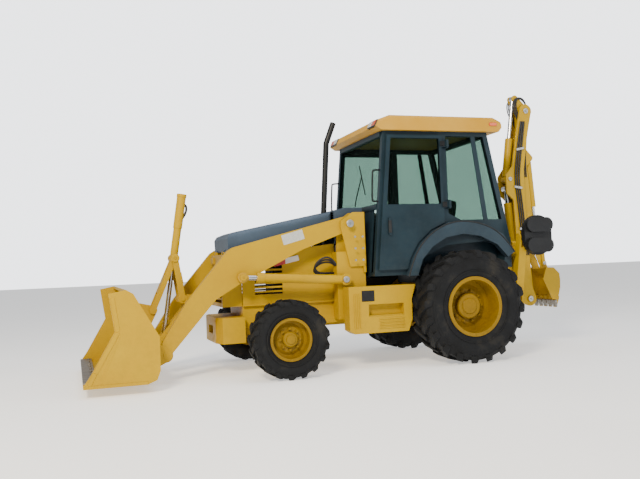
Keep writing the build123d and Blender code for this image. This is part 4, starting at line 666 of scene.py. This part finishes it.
def cushion(name, start, end, width, crown):
    """A crowned cushion 70 mm thick between two points, with a sewn channel down each side of its top."""
    run = end - start
    sideways = Vector((0, 1, 0))
    up = run.cross(sideways).normalized()
    turn = Matrix((run.normalized(), sideways, up)).transposed().to_4x4()
    half_length, half_width, half_thick = run.length / 2, width / 2, 0.035
    shape = bmesh.new()
    bmesh.ops.create_cube(shape, size=1.0)
    bmesh.ops.subdivide_edges(shape, edges=shape.edges[:], cuts=11, use_grid_fill=True)
    for vert in shape.verts:
        u, v, w = vert.co * 2
        top = max(w, 0.0)
        # the sides draw in between the corners, and the corners are rounded
        corner = 1 - 0.10 * abs(u * v) ** 6
        along = u * (1 - 0.05 * (1 - v * v) * abs(w)) * corner
        across = v * (1 - 0.06 * (1 - u * u) * abs(w)) * corner
        # the top swells towards the middle and again at the side bolsters, past the channels
        swell = crown * top * (1 - u ** 4) * (1 - v ** 4)
        channel = 0.010 * top * math.exp(-((abs(v) - 0.66) / 0.07) ** 2)
        bolster = 0.022 * top * max(0.0, abs(v) - 0.66) / 0.34 * (1 - u ** 6)
        rise = w * half_thick * (1 - 0.25 * max(abs(u), abs(v)) ** 8) + swell - channel + bolster
        vert.co = (along * half_length, across * half_width, rise)
    bmesh.ops.transform(shape, verts=shape.verts, matrix=Matrix.Translation((start + end) / 2) @ turn)
    for face in shape.faces:
        face.smooth = True
    piece = place_piece(name, shape, cloth, "chassis")
    smooth = piece.modifiers.new("soft", "SUBSURF")
    smooth.levels = smooth.render_levels = 1
    return piece


seat_base = cushion("seat_base_cushion", side_point(1862, 1300, 0), side_point(2270, 1292, 0), 0.450, 0.018)
seat_back = cushion("seat_back_cushion", side_point(2318, 1330, 0), side_point(2418, 1900, 0), 0.430, 0.016)
riser = bmesh.new()
block(riser, side_point(2100, 1100, 0.0), (0.300, 0.340, 0.100), 0.012)
# bellows: a stack of rounded folds between the riser and the pan
for i in range(5):
    block(riser, side_point(2100, 1162 + 18 * i, 0.0), (0.300, 0.320, 0.017), 0.007)
block(riser, side_point(2075, 1252, 0.0), (0.410, 0.430, 0.024), 0.010)
seat_pedestal = place_piece("seat_pedestal", riser, plastic, "chassis")
for piece in (seat_base, seat_back, seat_pedestal):
    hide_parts("seat")

# ------------------------------------------------------------------ loader bucket edges
# A bolted cutting edge of hardened steel along the lip, scoured to bright streaks by gravel,
# and welded wear bars with a pressed diagonal rib on each side plate.
worn_steel, where = new_material("worn steel")
# scratches run along the machine, about 170 mm long and 8 mm apart
stretch = add(worn_steel, "ShaderNodeMapping", {"Scale": (3.0, 60.0, 60.0)}, {"Vector": where})
scratches = add(worn_steel, "ShaderNodeTexNoise", {"Scale": 2.0, "Detail": 8.0, "Roughness": 0.7},
                {"Vector": stretch})
tint = add(worn_steel, "ShaderNodeValToRGB", links={"Fac": scratches},
           stops=((0.35, "#5B544B"), (0.5, "#8B857B"), (0.68, "#B9B6B0")))
dull = add(worn_steel, "ShaderNodeMapRange", {"To Min": 0.62, "To Max": 0.34}, {"Value": scratches})
finish_shader(worn_steel, add(worn_steel, "ShaderNodeBsdfPrincipled", {"Metallic": 0.9},
                              {"Base Color": tint, "Roughness": dull}))

bucket_low, bucket_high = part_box("loader_bucket")
edge = bmesh.new()
block(edge, side_point(-1978, 138, 0.0), (0.130, bucket_high.y - bucket_low.y - 0.07, 0.014), 0.005)
for i in range(9):
    hexagon_nut(edge, side_point(-1950, 145, -0.92 + 0.23 * i), Vector((0, 0, 1)), 0.030, 0.010)
place_piece("bucket_cutting_edge", edge, worn_steel, "loader_bucket")

# columns: from, to, half width, rise
SIDE_BARS = [
    ((-1988, 118), (-1928, 236), 0.020, 0.007), ((-1928, 232), (-1712, 606), 0.020, 0.007),
    ((-1712, 602), (-1758, 940), 0.020, 0.007), ((-1700, 560), (-1880, 130), 0.008, 0.004),
    ((-1990, 106), (-1440, 106), 0.014, 0.006),
]
bucket_ribs = bmesh.new()
for hand in (-1, 1):
    out = Vector((0, hand, 0))
    for start, end, half, rise in SIDE_BARS:
        a, b = (side_point(*spot, hand * 1.0895) for spot in (start, end))
        across = (b - a).cross(out).normalized() * half
        foot = [bucket_ribs.verts.new(corner) for corner in (a - across, a + across, b + across, b - across)]
        crest = raise_faces(bucket_ribs, [bucket_ribs.faces.new(foot)], out * rise)
        middle = sum((vert.co for vert in crest), Vector()) / 4
        # the crest is drawn in, which gives the bar sloping sides
        for vert in crest:
            vert.co += (middle - vert.co).normalized() * half * 0.5
place_piece("bucket_side_ribs", bucket_ribs, yellow, "loader_bucket")

# ------------------------------------------------------------------ step boxes
# Pressed steel louvres and a step tread, painted with the machine, are bolted to the welded
# step and tank box, and a bare black plate covers its front corner.
louvres = bmesh.new()
for hand in (-1, 1):
    tilt = Matrix.Rotation(hand * -0.5, 4, "X")
    for i in range(4):
        block(louvres, side_point(1240, 545 - 34 * i, hand * 0.793), (0.300, 0.018, 0.012), 0.003, turn=tilt)
    block(louvres, side_point(1180, 580, hand * 0.752), (0.410, 0.086, 0.008), 0.002, segments=1)
place_piece("step_louvres", louvres, yellow, "chassis")
corner_plates = bmesh.new()
for hand in (-1, 1):
    plate(corner_plates, (965, 800), 0.790, (0.150, 0.120), hand)
place_piece("step_plates", corner_plates, black_coat, "chassis")

# ------------------------------------------------------------------ hood latch trays
# A tray of black moulded polypropylene is let into the hood's lower edge on each side, with
# five raised pads in a row that follow the hood's slope.
HOOD_SLOPE = -10.7  # degrees, rising towards the cab
latch = bmesh.new()
for hand in (-1, 1):
    plate(latch, (500, 1535), 0.399, (0.360, 0.070), hand, thick=0.006, degrees=HOOD_SLOPE)
    for i in range(5):
        plate(latch, (380 + 60 * i, 1512 + 11.3 * i), 0.404, (0.040, 0.050), hand, thick=0.005,
              degrees=HOOD_SLOPE)
place_piece("hood_latch_trays", latch, plastic, "hood")


# ------------------------------------------------------------------ backhoe pins and hoses
# Zinc-plated steel pins run through every backhoe joint. Braided hoses run up the boom side by
# side under pressed steel clamps, down the dipper, and loop over the head between the two.

# columns: body, place, |y| of the pin's end, head radius
HOE_PINS = [
    ("swing_post", (3470, 620), 0.160, 0.036),
    ("swing_post", (3370, 1000), 0.160, 0.028),
    ("boom", (3560, 3060), 0.110, 0.036),
    ("boom", (3280, 2170), 0.110, 0.026),
    ("dipper", (3620, 1500), 0.082, 0.025),
    ("hoe_bucket", (3640, 1250), 0.105, 0.030),
    ("hoe_bucket", (3724.5, 1068.7), 0.120, 0.022),
    ("hoe_rocker", (3704.5, 1318.7), 0.115, 0.022),
]
for number, (body, place, face, radius) in enumerate(HOE_PINS):
    pin_heads(f"hoe_pin_heads_{number}", place, face, radius, 0.008, zinc, body)

# the line of the foremost of three hoses, which lie 30 mm apart and draw together at the boom's head
BOOM_HOSES_OUT = 0.114
BOOM_RUN = [(3440, 1180), (3405, 1500), (3375, 1900), (3345, 2150), (3375, 2400), (3430, 2700)]
boom_hoses = []
for offset in (0, 30, 60):
    run = [(behind + offset, height, BOOM_HOSES_OUT) for behind, height in BOOM_RUN]
    boom_hoses += both_sides(*run, (3478 + offset * 0.8, 2920, BOOM_HOSES_OUT))
bent_tubes("boom_hoses", boom_hoses, 0.010, hose, "boom")
CLAMP_FACE = 0.121
clamps = bmesh.new()
for hand in (-1, 1):
    for behind, height, degrees in ((3432, 1520, 4), (3386, 2060, 8), (3440, 2560, -12)):
        plate(clamps, (behind, height), CLAMP_FACE, (0.115, 0.030), hand, thick=0.008, degrees=degrees)
        hexagon_nut(clamps, side_point(behind, height, hand * (CLAMP_FACE + 0.007)), Vector((0, hand, 0)),
                    0.018, 0.006)
place_piece("boom_hose_clamps", clamps, zinc, "boom")

# two hoses a side on the dipper's flank, 26 mm apart
DIPPER_RUN = [(3540, 2880), (3530, 2700), (3520, 2450), (3525, 2200)]
dipper_hoses = []
for offset in (0, 26):
    dipper_hoses += both_sides(*[(behind + offset, height, 0.067) for behind, height in DIPPER_RUN])
bent_tubes("dipper_hoses", dipper_hoses, 0.009, hose, "dipper")

# three hoses a side loop over the head, one outside the other
head_hoses = []
for spread in (0, 24, 48):
    head_hoses += both_sides((3530 - spread * 0.3, 2860, 0.070), (3470 - spread, 3000, 0.070),
                             (3436 - spread, 3150, 0.072), (3470 - spread * 0.6, 3238, 0.072),
                             (3560, 3200 + spread * 0.8, 0.072), (3622, 3080, 0.070),
                             (3600 - spread * 0.4, 2900, 0.070))
bent_tubes("dipper_head_hoses", head_hoses, 0.008, hose, "dipper")

# ------------------------------------------------------------------ worn digging teeth
# Cast alloy teeth on the digging bucket end in fitted wear caps, which taper towards the tip
# and are scoured bright over their last few centimetres.
TOOTH_WIDTH = 0.058
TOOTH_COUNT = 5
hoe_low, hoe_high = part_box("hoe_bucket")
outer_tooth = max(-hoe_low.y, hoe_high.y) - TOOTH_WIDTH / 2
tooth_lean = Matrix.Rotation(math.radians(-14), 4, "Y")
tip_x = FRONT_AXLE + 3.795
caps = bmesh.new()
for i in range(TOOTH_COUNT):
    centre = side_point(3802, 545, outer_tooth * (2 * i / (TOOTH_COUNT - 1) - 1))
    cap = bmesh.ops.create_cube(caps, size=1.0, matrix=Matrix.Translation(centre) @ tooth_lean
                                @ Matrix.Diagonal((0.044, 0.064, 0.095, 1)))
    for vert in cap["verts"]:
        if vert.co.z < centre.z:
            vert.co.x = tip_x + (vert.co.x - tip_x) * 0.4
    round_edges(caps, cap["verts"], 0.004)
place_piece("hoe_tooth_caps", caps, worn_steel, "hoe_bucket")

# ------------------------------------------------------------------ stabiliser pins
# Zinc-plated nuts hold the ends of the pins that carry the stabiliser legs and their
# cylinders, on the back of the rear frame.
REAR_FACE = FRONT_AXLE + 2.999
stabiliser_nuts = bmesh.new()
for hand in (-1, 1):
    # the lower nuts are thin ones, since the swung bucket passes close behind them
    for off_centre, height, across, thick in ((0.620, 0.590, 0.044, 0.004), (0.600, 1.320, 0.036, 0.014)):
        hexagon_nut(stabiliser_nuts, (REAR_FACE, hand * off_centre, height), Vector((1, 0, 0)), across, thick)
place_piece("stabiliser_pin_nuts", stabiliser_nuts, zinc, "chassis")
